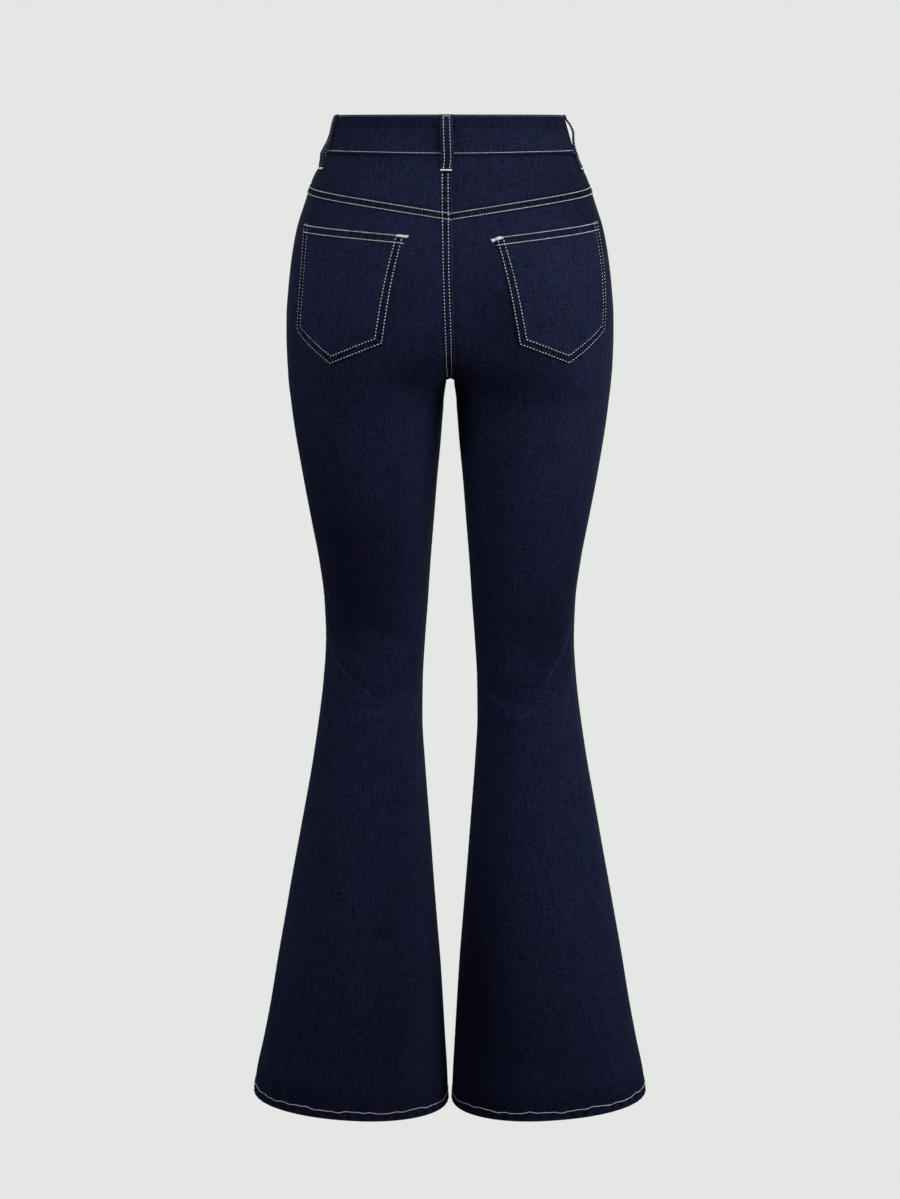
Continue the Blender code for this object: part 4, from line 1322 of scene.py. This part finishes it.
def pocket_outline(leg, aside):
    """Down the inner side, round the V and up the outer side, this far inside the edge."""
    level = np.linspace(0.005, 1, 200)
    inner = aside / pocket_size(leg, 0.0, level)[0]
    outer = 1 - aside / pocket_size(leg, 1.0, level)[0]
    place = np.unique(np.append(np.linspace(0, 1, 200), POCKETS[leg][4][1]))
    low = 1 - aside / (pocket_size(leg, place, 1.0)[1] * V_SLOPE)
    bottom = (place > np.interp(low, level, inner)) & (place < np.interp(low, level, outer))
    down = level < np.interp(inner, place, low)
    up = level < np.interp(outer, place, low)
    places = np.concatenate([inner[down], place[bottom], outer[up][::-1]])
    levels = np.concatenate([level[down], low[bottom], level[up][::-1]])
    return pocket_place(leg, places, levels)


def pocket_rows(leg):
    """The double row round the patch, the two rows along its mouth and the bar at its inner corner."""
    tree = cloth_tree(f"back_pocket_{leg}")
    both = cloth_tree(f"back_pocket_{leg}", f"back_leg_{leg}")
    number = 30 if leg == "left" else 40
    parts = []
    for aside in PATCH_ROWS:
        outline = pocket_outline(leg, aside)
        parts.append(sew_line(tree, leg, outline, number, pull=PATCH_PULL, **BOLD))
    for below, past in MOUTH_ROWS:
        place = np.linspace(past, 0.992, 60)
        level = below / pocket_size(leg, place, 0.0)[1]
        parts.append(sew_line(both, leg, pocket_place(leg, place, level), number + 1, **CLOSE))
    width = float(pocket_size(leg, 0.0, 0.0)[0])
    start, end, start_level, bar_width = INNER_BARS[leg]
    ends = pocket_place(leg, start / width, start_level), pocket_place(leg, end / width, 0.012)
    parts.append(tack(both, leg, *ends, number + 2, width=bar_width))
    return parts


def outer_tack(leg):
    """The small bar at the mouth's outer corner."""
    both = cloth_tree(f"back_pocket_{leg}", f"back_leg_{leg}")
    width = float(pocket_size(leg, 0.0, 0.0)[0])
    ends = pocket_place(leg, 1 - 3.4 / width, 0.010), pocket_place(leg, 1 + 0.4 / width, 0.010)
    return tack(both, leg, *ends, 46, width=2.2)


for leg in ("left", "right"):
    name = f"thread_back_pocket_{leg}"
    thread[name] = join_thread(name, pocket_rows(leg))
print(f"each pocket has {len(thread['thread_back_pocket_left'].data.polygons)} faces of thread")


# %% Sew the waistband, the loops and the hems
BAND_PULL = ((0, 1), (0.84, 0.84))
BAND_ROW, HEM_ROW = 1.7, 9.3
# From a loop's middle line: its two rows, and the ends of the bars at its bottom and top
LOOP_ROW, LOOP_LOW_BAR, LOOP_TOP_BAR = 3.2, 5.6, 4.4


def band_rows(top):
    """The band's thin top row, or its lower row and the one up its lapped end."""
    tree = cloth_tree("waistband")
    angle = np.linspace(LAPPED_TO - 1.1, UNDER_TO + 1.1, 300)
    if top:
        return [sew_line(tree, "left", (angle, BAND_ROW + 0 * angle), 50, **THIN)]
    end = np.full(20, LAPPED_TO - 1.1), np.linspace(2.5, BAND_HEIGHT - 2.5, 20)
    low = angle, band_low(angle) - BAND_ROW
    low_row = sew_line(tree, "left", low, 51, pull=BAND_PULL, **CLOSE)
    return [low_row, sew_line(tree, "left", end, 52, **CLOSE)]


def loop_rows(name, leg, ends):
    """The two rows down a loop."""
    tree = cloth_tree(name)
    drop = np.linspace(LOOP_TOP + 2.6, LOOP_BOTTOM - 3.0, 50)
    rows = [(loop_angle(ends, drop, aside), drop) for aside in (-LOOP_ROW, LOOP_ROW)]
    return [sew_line(tree, leg, row, 60 + k, **BOLD) for k, row in enumerate(rows)]


def loop_low_tack(name, leg, ends):
    """The cream bar that holds a loop's lower end."""
    low = LOOP_BOTTOM - 2.0
    corners = [(loop_angle(ends, low, aside), low) for aside in (-LOOP_LOW_BAR, LOOP_LOW_BAR)]
    return tack(cloth_tree(name), leg, *corners, 62, width=1.6)


def loop_top_tack(name, leg, ends):
    """The tan bar that holds a loop's upper end."""
    corners = [(loop_angle(ends, 1.9, aside), 1.9) for aside in (-LOOP_TOP_BAR, LOOP_TOP_BAR)]
    return tack(cloth_tree(name), leg, *corners, 63, width=1.7)


def hem_rows(leg):
    """One row round the hem, which wanders a little as it does on a roped hem."""
    tree = cloth_tree(f"back_leg_{leg}", f"front_leg_{leg}")
    angle = np.linspace(0.6, 359.4, 400)
    turn = np.radians(angle)
    wander = 0.7 * np.sin(turn * 9 + len(leg)) + 0.5 * np.sin(turn * 23) + 0.35 * np.sin(turn * 41 + 1.3)
    return [sew_line(tree, leg, (angle, hem_drop(angle) - HEM_ROW + wander), 70, **CLOSE)]


thread["thread_waistband_top"] = join_thread("thread_waistband_top", band_rows(top=True))
thread["thread_waistband"] = join_thread("thread_waistband", band_rows(top=False))
for leg in ("left", "right"):
    thread[f"thread_hem_{leg}"] = join_thread(f"thread_hem_{leg}", hem_rows(leg))
bars = [outer_tack(leg) for leg in ("left", "right")]
for name, leg, top, low, _ in LOOPS:
    rows, parts = loop_rows(name, leg, (top, low)), [loop_low_tack(name, leg, (top, low))]
    (bars if "side" in name else parts).extend(rows)
    bars.append(loop_top_tack(name, leg, (top, low)))
    thread[f"thread_{name}"] = join_thread(f"thread_{name}", parts)
thread["thread_tan_bars"] = join_thread("thread_tan_bars", bars)
print("rows sewn so far:", ", ".join(thread))

# %% [markdown]
# ## The front
#
# The front has what such jeans must have: a fly under the left panel's lapped edge, held by a
# curved double row, two scooped pockets, and a waistband that laps and buttons. The zip is
# hidden under the lap. Short dense bars hold the places that are pulled most.

# %% Sew the front
FLY_TOP, FLY_ROWS, FLY_LOW_BAR, FLY_SIDE_BAR = 43, (1.6, 8.0), FLY_END - 2.0, 132.0
BUTTON_DROP, BUTTON_ANGLE, BUTTON_TURN = 20.0, 262.5, 2.5


def front_rows():
    """The fly's curved double row, its edge, the rows below it, and two short bars."""
    parts = []
    turn = np.linspace(0, 0.48 * math.pi, 40)
    tree = cloth_tree("front_leg_left")
    for number, inset in enumerate(FLY_ROWS):
        width = FLY_WIDTH - inset
        curve = FLY_STRAIGHT + (FLY_END - FLY_STRAIGHT - inset) * np.sin(turn)
        drops = np.append(np.linspace(FLY_TOP, FLY_STRAIGHT, 60), curve)
        widths = np.append(np.full(60, width), width * np.cos(turn))
        line = angle_at(np.maximum(widths, 1.0), drops, False), drops
        parts.append(sew_line(tree, "left", line, 80 + number, **BOLD))
    edge = np.linspace(FLY_TOP, FLY_END, 60)
    parts.append(sew_line(tree, "left", (angle_at(0 * edge + 2.0, edge, False), edge), 82, **BOLD))
    rise = np.linspace(FLY_END + 2, CROTCH_DROP - 1.5, 40)
    for number, aside in enumerate((ROW_IN, ROW_OUT)):
        line = angle_at(0 * rise + aside, rise, False), rise
        parts.append(sew_line(tree, "left", line, 83 + number, **BOLD))
    side = FLY_WIDTH - 4.8
    bars = (
        # from the centre front, at its two ends, and the drop of each end
        ((0.8, 8.6), (FLY_LOW_BAR, FLY_LOW_BAR)),
        ((side, side), (FLY_SIDE_BAR - 9, FLY_SIDE_BAR)),
    )
    for reach, drops in bars:
        angles = angle_at(np.array(reach), np.array(drops), False)
        parts.append(tack(tree, "left", (angles[0], drops[0]), (angles[1], drops[1]), 85))
    return parts


def scoop_rows(leg):
    """The double row along a scooped pocket, and the bar at its lower end."""
    tree = cloth_tree(f"front_leg_{leg}")
    line = [part[::-1] for part in scoop_line()]
    parts = [sew_line(tree, leg, line, 90 + k, aside, **BOLD) for k, aside in enumerate((ROW_IN, ROW_OUT))]
    side = SIDE_SEAM + 1.3
    parts.append(tack(tree, leg, (side, SCOOP_DROP + 1.5), (side, SCOOP_DROP + 10.5), 92))
    return parts


def buttonhole():
    """A long ring of close thread in the band's lapped end, under the button."""
    turn = np.linspace(0, 2 * math.pi, 100)
    angle = BUTTON_ANGLE + 1.4 + 6.6 * np.cos(turn)
    drop = BUTTON_DROP + 1.9 * np.sign(np.sin(turn)) * np.abs(np.sin(turn)) ** 0.7
    tree = cloth_tree("waistband")
    corners = list(zip(angle, drop))
    pairs = enumerate(zip(corners, corners[1:]))
    return [tack(tree, "left", start, end, 95 + k, width=1.5) for k, (start, end) in pairs]


thread["thread_front"] = join_thread("thread_front", front_rows())
for leg in ("left", "right"):
    thread[f"thread_front_pocket_{leg}"] = join_thread(f"thread_front_pocket_{leg}", scoop_rows(leg))
thread["thread_buttonhole"] = join_thread("thread_buttonhole", buttonhole())
print(f"{sum(len(t.data.polygons) for t in thread.values())} faces of thread in all")

# %% [markdown]
# ## The waist button
#
# A jeans button is a stamped cap on a shank: a rolled rim, a sunk ring and a low dome. Its
# outline is turned round an axis, which suits anything made by pressing or on a lathe.

# %% Turn the button
BUTTON_OUTLINE = [
    # radius, height
    (0.0, 0.0), (3.3, 0.0), (3.5, 0.2), (3.5, 1.3), (3.8, 1.5), (7.6, 1.6), (8.2, 1.8), (8.46, 2.3),
    (8.44, 2.9), (8.15, 3.4), (7.7, 3.62), (7.25, 3.5), (6.95, 3.2), (6.6, 3.05), (6.0, 3.1),
    (5.4, 3.3), (4.8, 3.62), (3.6, 4.05), (2.2, 4.35), (0.9, 4.48), (0.0, 4.5),
]
BUTTON_STEPS = 72
BUTTON_OUT = BAND_OUT + BAND_LAP + 2 * SEAM_GAP


def waist_button():
    """The outline turned into a cap on its shank, set on the band's lapped end."""
    mesh = bmesh.new()
    points = [mesh.verts.new((radius * MM, 0, height * MM)) for radius, height in BUTTON_OUTLINE]
    edges = [mesh.edges.new(pair) for pair in zip(points, points[1:])]
    bmesh.ops.spin(
        mesh, geom=points + edges, cent=(0, 0, 0), axis=(0, 0, 1), angle=2 * math.pi,
        steps=BUTTON_STEPS, use_merge=True, use_normal_flip=False, use_duplicate=False)
    bmesh.ops.remove_doubles(mesh, verts=mesh.verts[:], dist=1e-6)
    bmesh.ops.recalc_face_normals(mesh, faces=mesh.faces[:])
    data = bpy.data.meshes.new("brass_waist_button")
    mesh.to_mesh(data)
    mesh.free()
    data.shade_smooth()
    button = placed("brass_waist_button", data)
    face = surface("left", np.array(BUTTON_ANGLE), np.array(BUTTON_DROP), BUTTON_OUT)[0]
    button.location = Vector(face * MM)
    button.rotation_euler = (math.radians(90), 0, math.radians(BUTTON_TURN))
    return button


button = waist_button()
print(f"the button has {len(button.data.polygons)} faces")

# %% [markdown]
# ## Twill
#
# Denim is a three-and-one twill: each lengthwise yarn passes over three crosswise ones and
# under the fourth, and each row starts one yarn along, which draws fine slanting lines. The
# pattern is worked out from the place on the flat cut, so it keeps its real pitch of under half
# a millimetre. A picture of cloth would do it too, but it would repeat and blur. Both faces of
# the cloth use it, so it is a group with named inputs.

# %% Helpers for nodes
def node(tree, kind, inputs=None, **settings):
    """A new node, with its inputs set or linked and its settings made."""
    made = tree.nodes.new(kind)
    for setting, value in settings.items():
        setattr(made, setting, value)
    for key, value in (inputs or {}).items():
        if isinstance(value, bpy.types.NodeSocket):
            tree.links.new(value, made.inputs[key])
        else:
            made.inputs[key].default_value = value
    return made


def sums(tree, operation, *values):
    """One step of arithmetic on numbers or sockets."""
    return node(tree, "ShaderNodeMath", dict(enumerate(values)), operation=operation).outputs[0]


def mixed(tree, factor, low, high):
    """One colour turning into another."""
    inputs = {0: factor, 6: low, 7: high}
    return node(tree, "ShaderNodeMix", inputs, data_type="RGBA", clamp_factor=True).outputs[2]


def ranged(tree, value, low, high, to_low=0.0, to_high=1.0):
    """A number moved from one range to another, and kept inside it."""
    inputs = {"Value": value, "From Min": low, "From Max": high, "To Min": to_low, "To Max": to_high}
    return node(tree, "ShaderNodeMapRange", inputs, clamp=True).outputs[0]


def new_group(name, inputs, outputs):
    """An empty shader group with named sockets: its tree, its inputs and its output node."""
    group = bpy.data.node_groups.new(name, "ShaderNodeTree")
    for label, kind, value in inputs:
        socket = group.interface.new_socket(label, in_out="INPUT", socket_type=kind)
        if value is not None:
            socket.default_value = value
    for label in outputs:
        group.interface.new_socket(label, in_out="OUTPUT", socket_type="NodeSocketFloat")
    return group, group.nodes.new("NodeGroupInput").outputs, group.nodes.new("NodeGroupOutput")


def put_out(tree, output, **values):
    """Link each value to the group's output of the same name."""
    for label, value in values.items():
        tree.links.new(value, output.inputs[label])


# %% The twill group
WARP_PITCH, WEFT_PITCH = 0.00042, 0.00056


def twill_group():
    """From a place on the flat cut: how much crosswise yarn shows, and how high the yarn is."""
    tree, given, output = new_group(
        "twill_weave",
        [("Place", "NodeSocketVector", None), ("Warp Pitch", "NodeSocketFloat", WARP_PITCH),
         ("Weft Pitch", "NodeSocketFloat", WEFT_PITCH), ("Unevenness", "NodeSocketFloat", 0.3)],
        ["Weft", "Height"])
    wobble = node(tree, "ShaderNodeTexNoise", {"Vector": given["Place"], "Scale": 420.0, "Detail": 1.0})
    shift = sums(tree, "MULTIPLY", sums(tree, "SUBTRACT", wobble.outputs[0], 0.5), given["Unevenness"])
    place = node(tree, "ShaderNodeSeparateXYZ", {0: given["Place"]}).outputs
    warp = sums(tree, "ADD", sums(tree, "DIVIDE", place[0], given["Warp Pitch"]), shift)
    weft = sums(tree, "ADD", sums(tree, "DIVIDE", place[1], given["Weft Pitch"]), shift)
    step = sums(tree, "ADD", sums(tree, "FLOOR", warp), sums(tree, "FLOOR", weft))
    under = sums(tree, "LESS_THAN", sums(tree, "FLOORED_MODULO", step, 4.0), 0.5)
    warp_round = sums(tree, "SINE", sums(tree, "MULTIPLY", sums(tree, "FRACT", warp), math.pi))
    weft_round = sums(tree, "SINE", sums(tree, "MULTIPLY", sums(tree, "FRACT", weft), math.pi))
    low = sums(tree, "MULTIPLY", weft_round, 0.55)
    height = node(tree, "ShaderNodeMix", {0: under, 2: warp_round, 3: low}).outputs[0]
    put_out(tree, output, Weft=sums(tree, "MULTIPLY", under, weft_round), Height=height)
    return tree


TWILL = twill_group()
print(f"twill: {0.001 / WARP_PITCH:.1f} lengthwise yarns to a millimetre")

# %% [markdown]
# ## Uneven yarn and dye
#
# Ring-spun yarn is thick and thin, so indigo cloth shows short lengthwise streaks, weaker
# crosswise ones, and broad patches that took the dye a little differently. Stretched noise
# gives each of them: a coordinate that is squeezed in one direction makes long marks in the
# other.

# %% The unevenness group
def stretched_noise(tree, place, across, down, spread=0.25, detail=2.0, seed=0.0):
    """Noise from -1 to 1 whose marks are about this many metres wide and tall."""
    sizes = {0: place, 1: (1 / across, 1 / down, 0)}
    scaled = node(tree, "ShaderNodeVectorMath", sizes, operation="MULTIPLY")
    inputs = {"Vector": scaled.outputs[0], "W": seed, "Scale": 1.0, "Detail": detail}
    noise = node(tree, "ShaderNodeTexNoise", inputs, noise_dimensions="4D").outputs[0]
    return ranged(tree, noise, 0.5 - spread, 0.5 + spread, -1.0, 1.0)


def added(tree, first, first_share, second, second_share):
    """Two numbers, each with its share."""
    first = sums(tree, "MULTIPLY", first, first_share)
    return sums(tree, "ADD", first, sums(tree, "MULTIPLY", second, second_share))


def unevenness_group():
    """The streaks of the yarn, the patches of the dye and small pale flecks."""
    tree, given, output = new_group(
        "uneven_indigo", [("Place", "NodeSocketVector", None)], ["Streaks", "Patches", "Flecks"])
    lengthwise = stretched_noise(tree, given["Place"], 0.0023, 0.020, 0.17, seed=1.0)
    crosswise = stretched_noise(tree, given["Place"], 0.012, 0.0024, 0.19, seed=2.0)
    streaks = added(tree, lengthwise, 0.65, crosswise, 0.45)
    wide = stretched_noise(tree, given["Place"], 0.045, 0.085, 0.22, seed=3.0)
    near = stretched_noise(tree, given["Place"], 0.012, 0.020, 0.20, seed=4.0)
    patches = added(tree, wide, 0.45, near, 0.55)
    flecks = stretched_noise(tree, given["Place"], 0.0026, 0.0034, 0.13, detail=1.0, seed=5.0)
    put_out(tree, output, Streaks=streaks, Patches=patches, Flecks=flecks)
    return tree


UNEVEN = unevenness_group()
print("groups:", TWILL.name, UNEVEN.name)

# %% [markdown]
# ## Denim
#
# The face is nearly black indigo. It gives back so little light that a plain shader's gloss
# would wash it out, so its specular level is low and a faint purple sheen stands for the fuzz
# that catches light at a grazing angle. Edges that stand up are a little paler, partly worn and
# partly a painted highlight, and painted shade darkens the cloth in some places. The back shows
# the undyed crosswise yarn.

# %% The denim materials
def new_material(name, **constants):
    """A material, its tree and its Principled BSDF, with constant sockets set."""
    made = bpy.data.materials.new(name)
    made.use_nodes = True
    shader = made.node_tree.nodes["Principled BSDF"]
    for label, value in constants.items():
        shader.inputs[label.replace("_", " ")].default_value = value
    return made, made.node_tree, shader


# The colour of painted shade
PAINTED_SHADE_TONE = (0.0008, 0.0010, 0.0030, 1)


def denim(name, deep, light, purple, weft_tone, worn_and_lit_tone, weft_share):
    """One face of the cloth, from its deepest tone to its lightest, with its worn and lit edges and its
    painted shade.
    """
    made, tree, shader = new_material(
        name, Sheen_Weight=0.02, Sheen_Roughness=0.5, Sheen_Tint=(0.62, 0.55, 0.86, 1),
        Specular_IOR_Level=0.03)
    place = node(tree, "ShaderNodeUVMap", uv_map="cut").outputs[0]
    weave = node(tree, "ShaderNodeGroup", node_tree=TWILL)
    uneven = node(tree, "ShaderNodeGroup", node_tree=UNEVEN)
    for group in (weave, uneven):
        tree.links.new(place, group.inputs["Place"])
    streaks, patches, flecks = (uneven.outputs[label] for label in ("Streaks", "Patches", "Flecks"))
    tone = added(tree, streaks, 0.34, patches, 0.12)
    tone = sums(tree, "ADD", sums(tree, "ADD", tone, sums(tree, "MULTIPLY", flecks, 0.24)), 0.56)
    hue = mixed(tree, ranged(tree, patches, -0.5, 0.6, 0.0, 0.8), light, purple)
    tinted = mixed(tree, tone, deep, hue)
    weft = sums(tree, "MULTIPLY", weave.outputs["Weft"], weft_share)
    woven = mixed(tree, weft, tinted, weft_tone)
    wear_and_painted_light = node(tree, "ShaderNodeAttribute", attribute_name="wear_and_painted_light").outputs["Fac"]
    # Painted shade where a point's number is below zero; above zero, paler edges that are partly worn and
    # partly a painted highlight.
    sunk = mixed(tree, ranged(tree, wear_and_painted_light, -1.0, 0.0, 1.0, 0.0), woven, PAINTED_SHADE_TONE)
    worn_or_lit = sums(tree, "MULTIPLY", wear_and_painted_light, ranged(tree, flecks, -1.0, 1.0, 0.25, 0.85))
    tree.links.new(mixed(tree, worn_or_lit, sunk, worn_and_lit_tone), shader.inputs["Base Color"])
    tree.links.new(ranged(tree, streaks, -1.0, 1.0, 0.82, 0.95), shader.inputs["Roughness"])
    slubs = node(tree, "ShaderNodeBump", {"Strength": 0.35, "Distance": 0.0004, "Height": streaks})
    yarns = {"Strength": 0.6, "Distance": 0.00014, "Height": weave.outputs["Height"]}
    bump = node(tree, "ShaderNodeBump", {**yarns, "Normal": slubs.outputs[0]})
    tree.links.new(bump.outputs[0], shader.inputs["Normal"])
    return made


DENIM_FACE = denim(
    "indigo_denim",
    deep=(0.0022, 0.0046, 0.0118, 1),
    light=(0.0125, 0.0212, 0.0560, 1),
    purple=(0.0215, 0.0168, 0.0600, 1),
    weft_tone=(0.021, 0.027, 0.058, 1),
    worn_and_lit_tone=(0.036, 0.036, 0.084, 1),
    weft_share=0.30)
DENIM_BACK = denim(
    "denim_back",
    deep=(0.075, 0.090, 0.145, 1),
    light=(0.200, 0.225, 0.300, 1),
    purple=(0.185, 0.180, 0.260, 1),
    weft_tone=(0.020, 0.024, 0.055, 1),
    worn_and_lit_tone=(0.250, 0.260, 0.320, 1),
    weft_share=0.5)
# The face denim made a little darker for the facing, which lies inside the pocket: painted shade.
SHADED_FACING_DENIM = denim(
    "shaded_facing_denim",
    deep=(0.0022, 0.0046, 0.0118, 1),
    light=(0.0115, 0.0195, 0.0515, 1),
    purple=(0.0198, 0.0155, 0.0550, 1),
    weft_tone=(0.020, 0.026, 0.056, 1),
    worn_and_lit_tone=(0.036, 0.036, 0.084, 1),
    weft_share=0.30)
print("denim:", DENIM_FACE.name, DENIM_BACK.name, SHADED_FACING_DENIM.name)

# %% [markdown]
# ## Thread and brass
#
# Jeans thread is polyester twisted from a few plies, matt and a little soiled. Most rows are
# cream, and a tan thread holds the band's top edge, the side loops and the small bars. A fine
# diagonal bump is enough for the plies, as the stitches themselves are real shapes. The button
# is brass gone dull in its sunk ring. It could be painted so, but here the tarnish follows the
# button's own height.

# %% The thread and brass materials
def thread_material(name, pale, dark):
    """Matt twisted thread, from its clean tone to its soiled one."""
    made, tree, shader = new_material(
        name, Sheen_Weight=0.25, Sheen_Roughness=0.4, Specular_IOR_Level=0.3, Roughness=0.62)
    place = node(tree, "ShaderNodeTexCoord").outputs["Object"]
    soiled = node(tree, "ShaderNodeTexNoise", {"Vector": place, "Scale": 160.0, "Detail": 3.0}).outputs[0]
    tree.links.new(mixed(tree, ranged(tree, soiled, 0.35, 0.7), pale, dark), shader.inputs["Base Color"])
    twist = {"Vector": place, "Scale": 900.0, "Distortion": 1.5, "Detail": 1.0}
    plies = node(tree, "ShaderNodeTexWave", twist, bands_direction="DIAGONAL").outputs[1]
    bump = node(tree, "ShaderNodeBump", {"Strength": 0.5, "Distance": 0.0001, "Height": plies})
    tree.links.new(bump.outputs[0], shader.inputs["Normal"])
    return made


def brass_material():
    """Brass that is polished where it stands up and dull where it is sunk."""
    made, tree, shader = new_material("tarnished_brass", Metallic=1.0)
    place = node(tree, "ShaderNodeTexCoord").outputs["Object"]
    spots = node(tree, "ShaderNodeTexNoise", {"Vector": place, "Scale": 700.0, "Detail": 4.0}).outputs[0]
    height = node(tree, "ShaderNodeSeparateXYZ", {0: place}).outputs[2]
    low = ranged(tree, height, 0.0036, 0.0029)
    tarnish = sums(tree, "MULTIPLY", sums(tree, "ADD", low, 0.35), ranged(tree, spots, 0.35, 0.7))
    colour = mixed(tree, tarnish, (0.40, 0.27, 0.13, 1), (0.09, 0.055, 0.03, 1))
    tree.links.new(colour, shader.inputs["Base Color"])
    tree.links.new(ranged(tree, spots, 0.3, 0.75, 0.28, 0.55), shader.inputs["Roughness"])
    bump = node(tree, "ShaderNodeBump", {"Strength": 0.25, "Distance": 0.0001, "Height": spots})
    tree.links.new(bump.outputs[0], shader.inputs["Normal"])
    return made


CREAM = thread_material("cream_thread", (0.87, 0.86, 0.86, 1), (0.65, 0.64, 0.64, 1))
TAN = thread_material("tan_thread", (0.32, 0.27, 0.22, 1), (0.20, 0.165, 0.135, 1))
BRASS = brass_material()
print("trims:", CREAM.name, TAN.name, BRASS.name)

# %% [markdown]
# ## Hand the pieces to the frame
#
# Each fine piece says which plain node it replaces, which body it rides on and which finish it
# has. Nothing here has a joint, so the body is always the root.


for name, piece in panels.items():
    facing_piece = name.startswith("pocket_facing")
    doubled = name == "waistband" or name.startswith("belt_loop")
    piece.data.materials.append(SHADED_FACING_DENIM if facing_piece else DENIM_FACE)
    piece.data.materials.append(DENIM_FACE if doubled else DENIM_BACK)
    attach(piece, "root")
    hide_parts(name)

for name, piece in thread.items():
    piece.data.materials.append(TAN if name in ("thread_waistband_top", "thread_tan_bars") else CREAM)
    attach(piece, "root")
button.data.materials.append(BRASS)
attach(button, "root")
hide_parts("waist_button")
print(f"{len(panels)} pieces of cloth, {len(thread)} groups of thread and a button")

# %% [markdown]
# ## Stage, light and camera
#
# The jeans hang in a plain pale studio with soft light. The floor is far below the hems, so no
# shadow of theirs crowds them. A picture of a studio could light them too, but a few area
# lights are easier to move one at a time. The brightest soft light stands close by on one
# side, so the cloth darkens across each leg and down to the hems, and weaker ones stand
# overhead and across from it. Three more light the front, so every side can be read.

# %% The floor and the sky
BACKGROUND = (0.783, 0.799, 0.776, 1)
AMBIENT = 0.07
FLOOR_Z, FLOOR_RADIUS = -1.6, 9.0


def studio_world():
    """The camera sees the plain background, and the cloth only a faint light from it."""
    world = bpy.data.worlds.new("studio")
    world.use_nodes = True
    tree = world.node_tree
    tree.nodes.clear()
    seen = node(tree, "ShaderNodeBackground", {"Color": BACKGROUND, "Strength": 1.0})
    light = node(tree, "ShaderNodeBackground", {"Color": (1, 1, 1, 1), "Strength": AMBIENT})
    path = node(tree, "ShaderNodeLightPath")
    inputs = {0: path.outputs["Is Camera Ray"], 1: light.outputs[0], 2: seen.outputs[0]}
    both = node(tree, "ShaderNodeMixShader", inputs)
    node(tree, "ShaderNodeOutputWorld", {"Surface": both.outputs[0]})
    bpy.context.scene.world = world


def studio_floor():
    """A round floor in the background's own colour."""
    mesh = bmesh.new()
    bmesh.ops.create_circle(mesh, cap_ends=True, segments=96, radius=FLOOR_RADIUS)
    data = bpy.data.meshes.new("floor")
    mesh.to_mesh(data)
    mesh.free()
    floor = placed("floor", data)
    floor.location.z = FLOOR_Z
    paint = new_material("pale_floor", Base_Color=(0, 0, 0, 1), Specular_IOR_Level=0.0, Roughness=1.0)[0]
    shader = paint.node_tree.nodes["Principled BSDF"]
    shader.inputs["Emission Color"].default_value = BACKGROUND
    shader.inputs["Emission Strength"].default_value = 1.0
    data.materials.append(paint)
    floor.visible_diffuse = floor.visible_glossy = False


studio_world()
studio_floor()
print(f"the floor is {-(FLOOR_Z + HEM_DROP * MM):.2f} m below the hems")


# %% Lights
LIGHTS = [
    # name, place, aim's height, size, power
    ("side_key", (-1.3, 0.8, -0.2), -0.4, 0.8, 13.4),
    ("high_near", (1.0, 1.0, 0.7), -0.4, 0.8, 10.9),
    ("high_side", (-1.0, 1.0, 0.7), -0.4, 0.8, 5.4),
    ("overhead", (-0.73, 0.62, 2.2), -0.45, 1.6, 32.0),
    ("far_side", (2.73, 0.48, -0.06), -0.45, 1.6, 15.4),
    ("front_key", (0.6, -1.8, 0.5), -0.5, 0.9, 16.0),
    ("front_high", (-0.5, -1.8, 0.8), -0.5, 0.9, 9.0),
    ("front_low", (-0.7, -1.8, -0.5), -0.6, 1.0, 8.0),
]
for name, place, aim_height, size, power in LIGHTS:
    lamp = bpy.data.lights.new(name, "AREA")
    lamp.size, lamp.energy = size, power
    light = placed(name, lamp)
    light.location = place
    aim = Vector((0, 0, aim_height)) - Vector(place)
    light.rotation_euler = aim.to_track_quat("-Z", "Y").to_euler()
print(f"{len(LIGHTS)} lights")

# %% The camera
CAMERA_PLACE, CAMERA_PITCH = (0.0, 3.2, -0.02), 8.871
CAMERA_LENS, CAMERA_SENSOR, CAMERA_REACH = 89.53, 36.0, 30.0
lens = bpy.data.cameras.new("camera")
lens.lens, lens.sensor_width = CAMERA_LENS, CAMERA_SENSOR
lens.clip_end = CAMERA_REACH
camera = placed("camera", lens)
camera.location = CAMERA_PLACE
camera.rotation_euler = (math.radians(90 - CAMERA_PITCH), 0, math.radians(180))
bpy.context.scene.camera = camera
bpy.context.scene.view_settings.view_transform = "Standard"
print("camera", CAMERA_PLACE, "pitched down", CAMERA_PITCH, "degrees")

# %% [markdown]
# ## Finish

# %% Finish
print("finished")
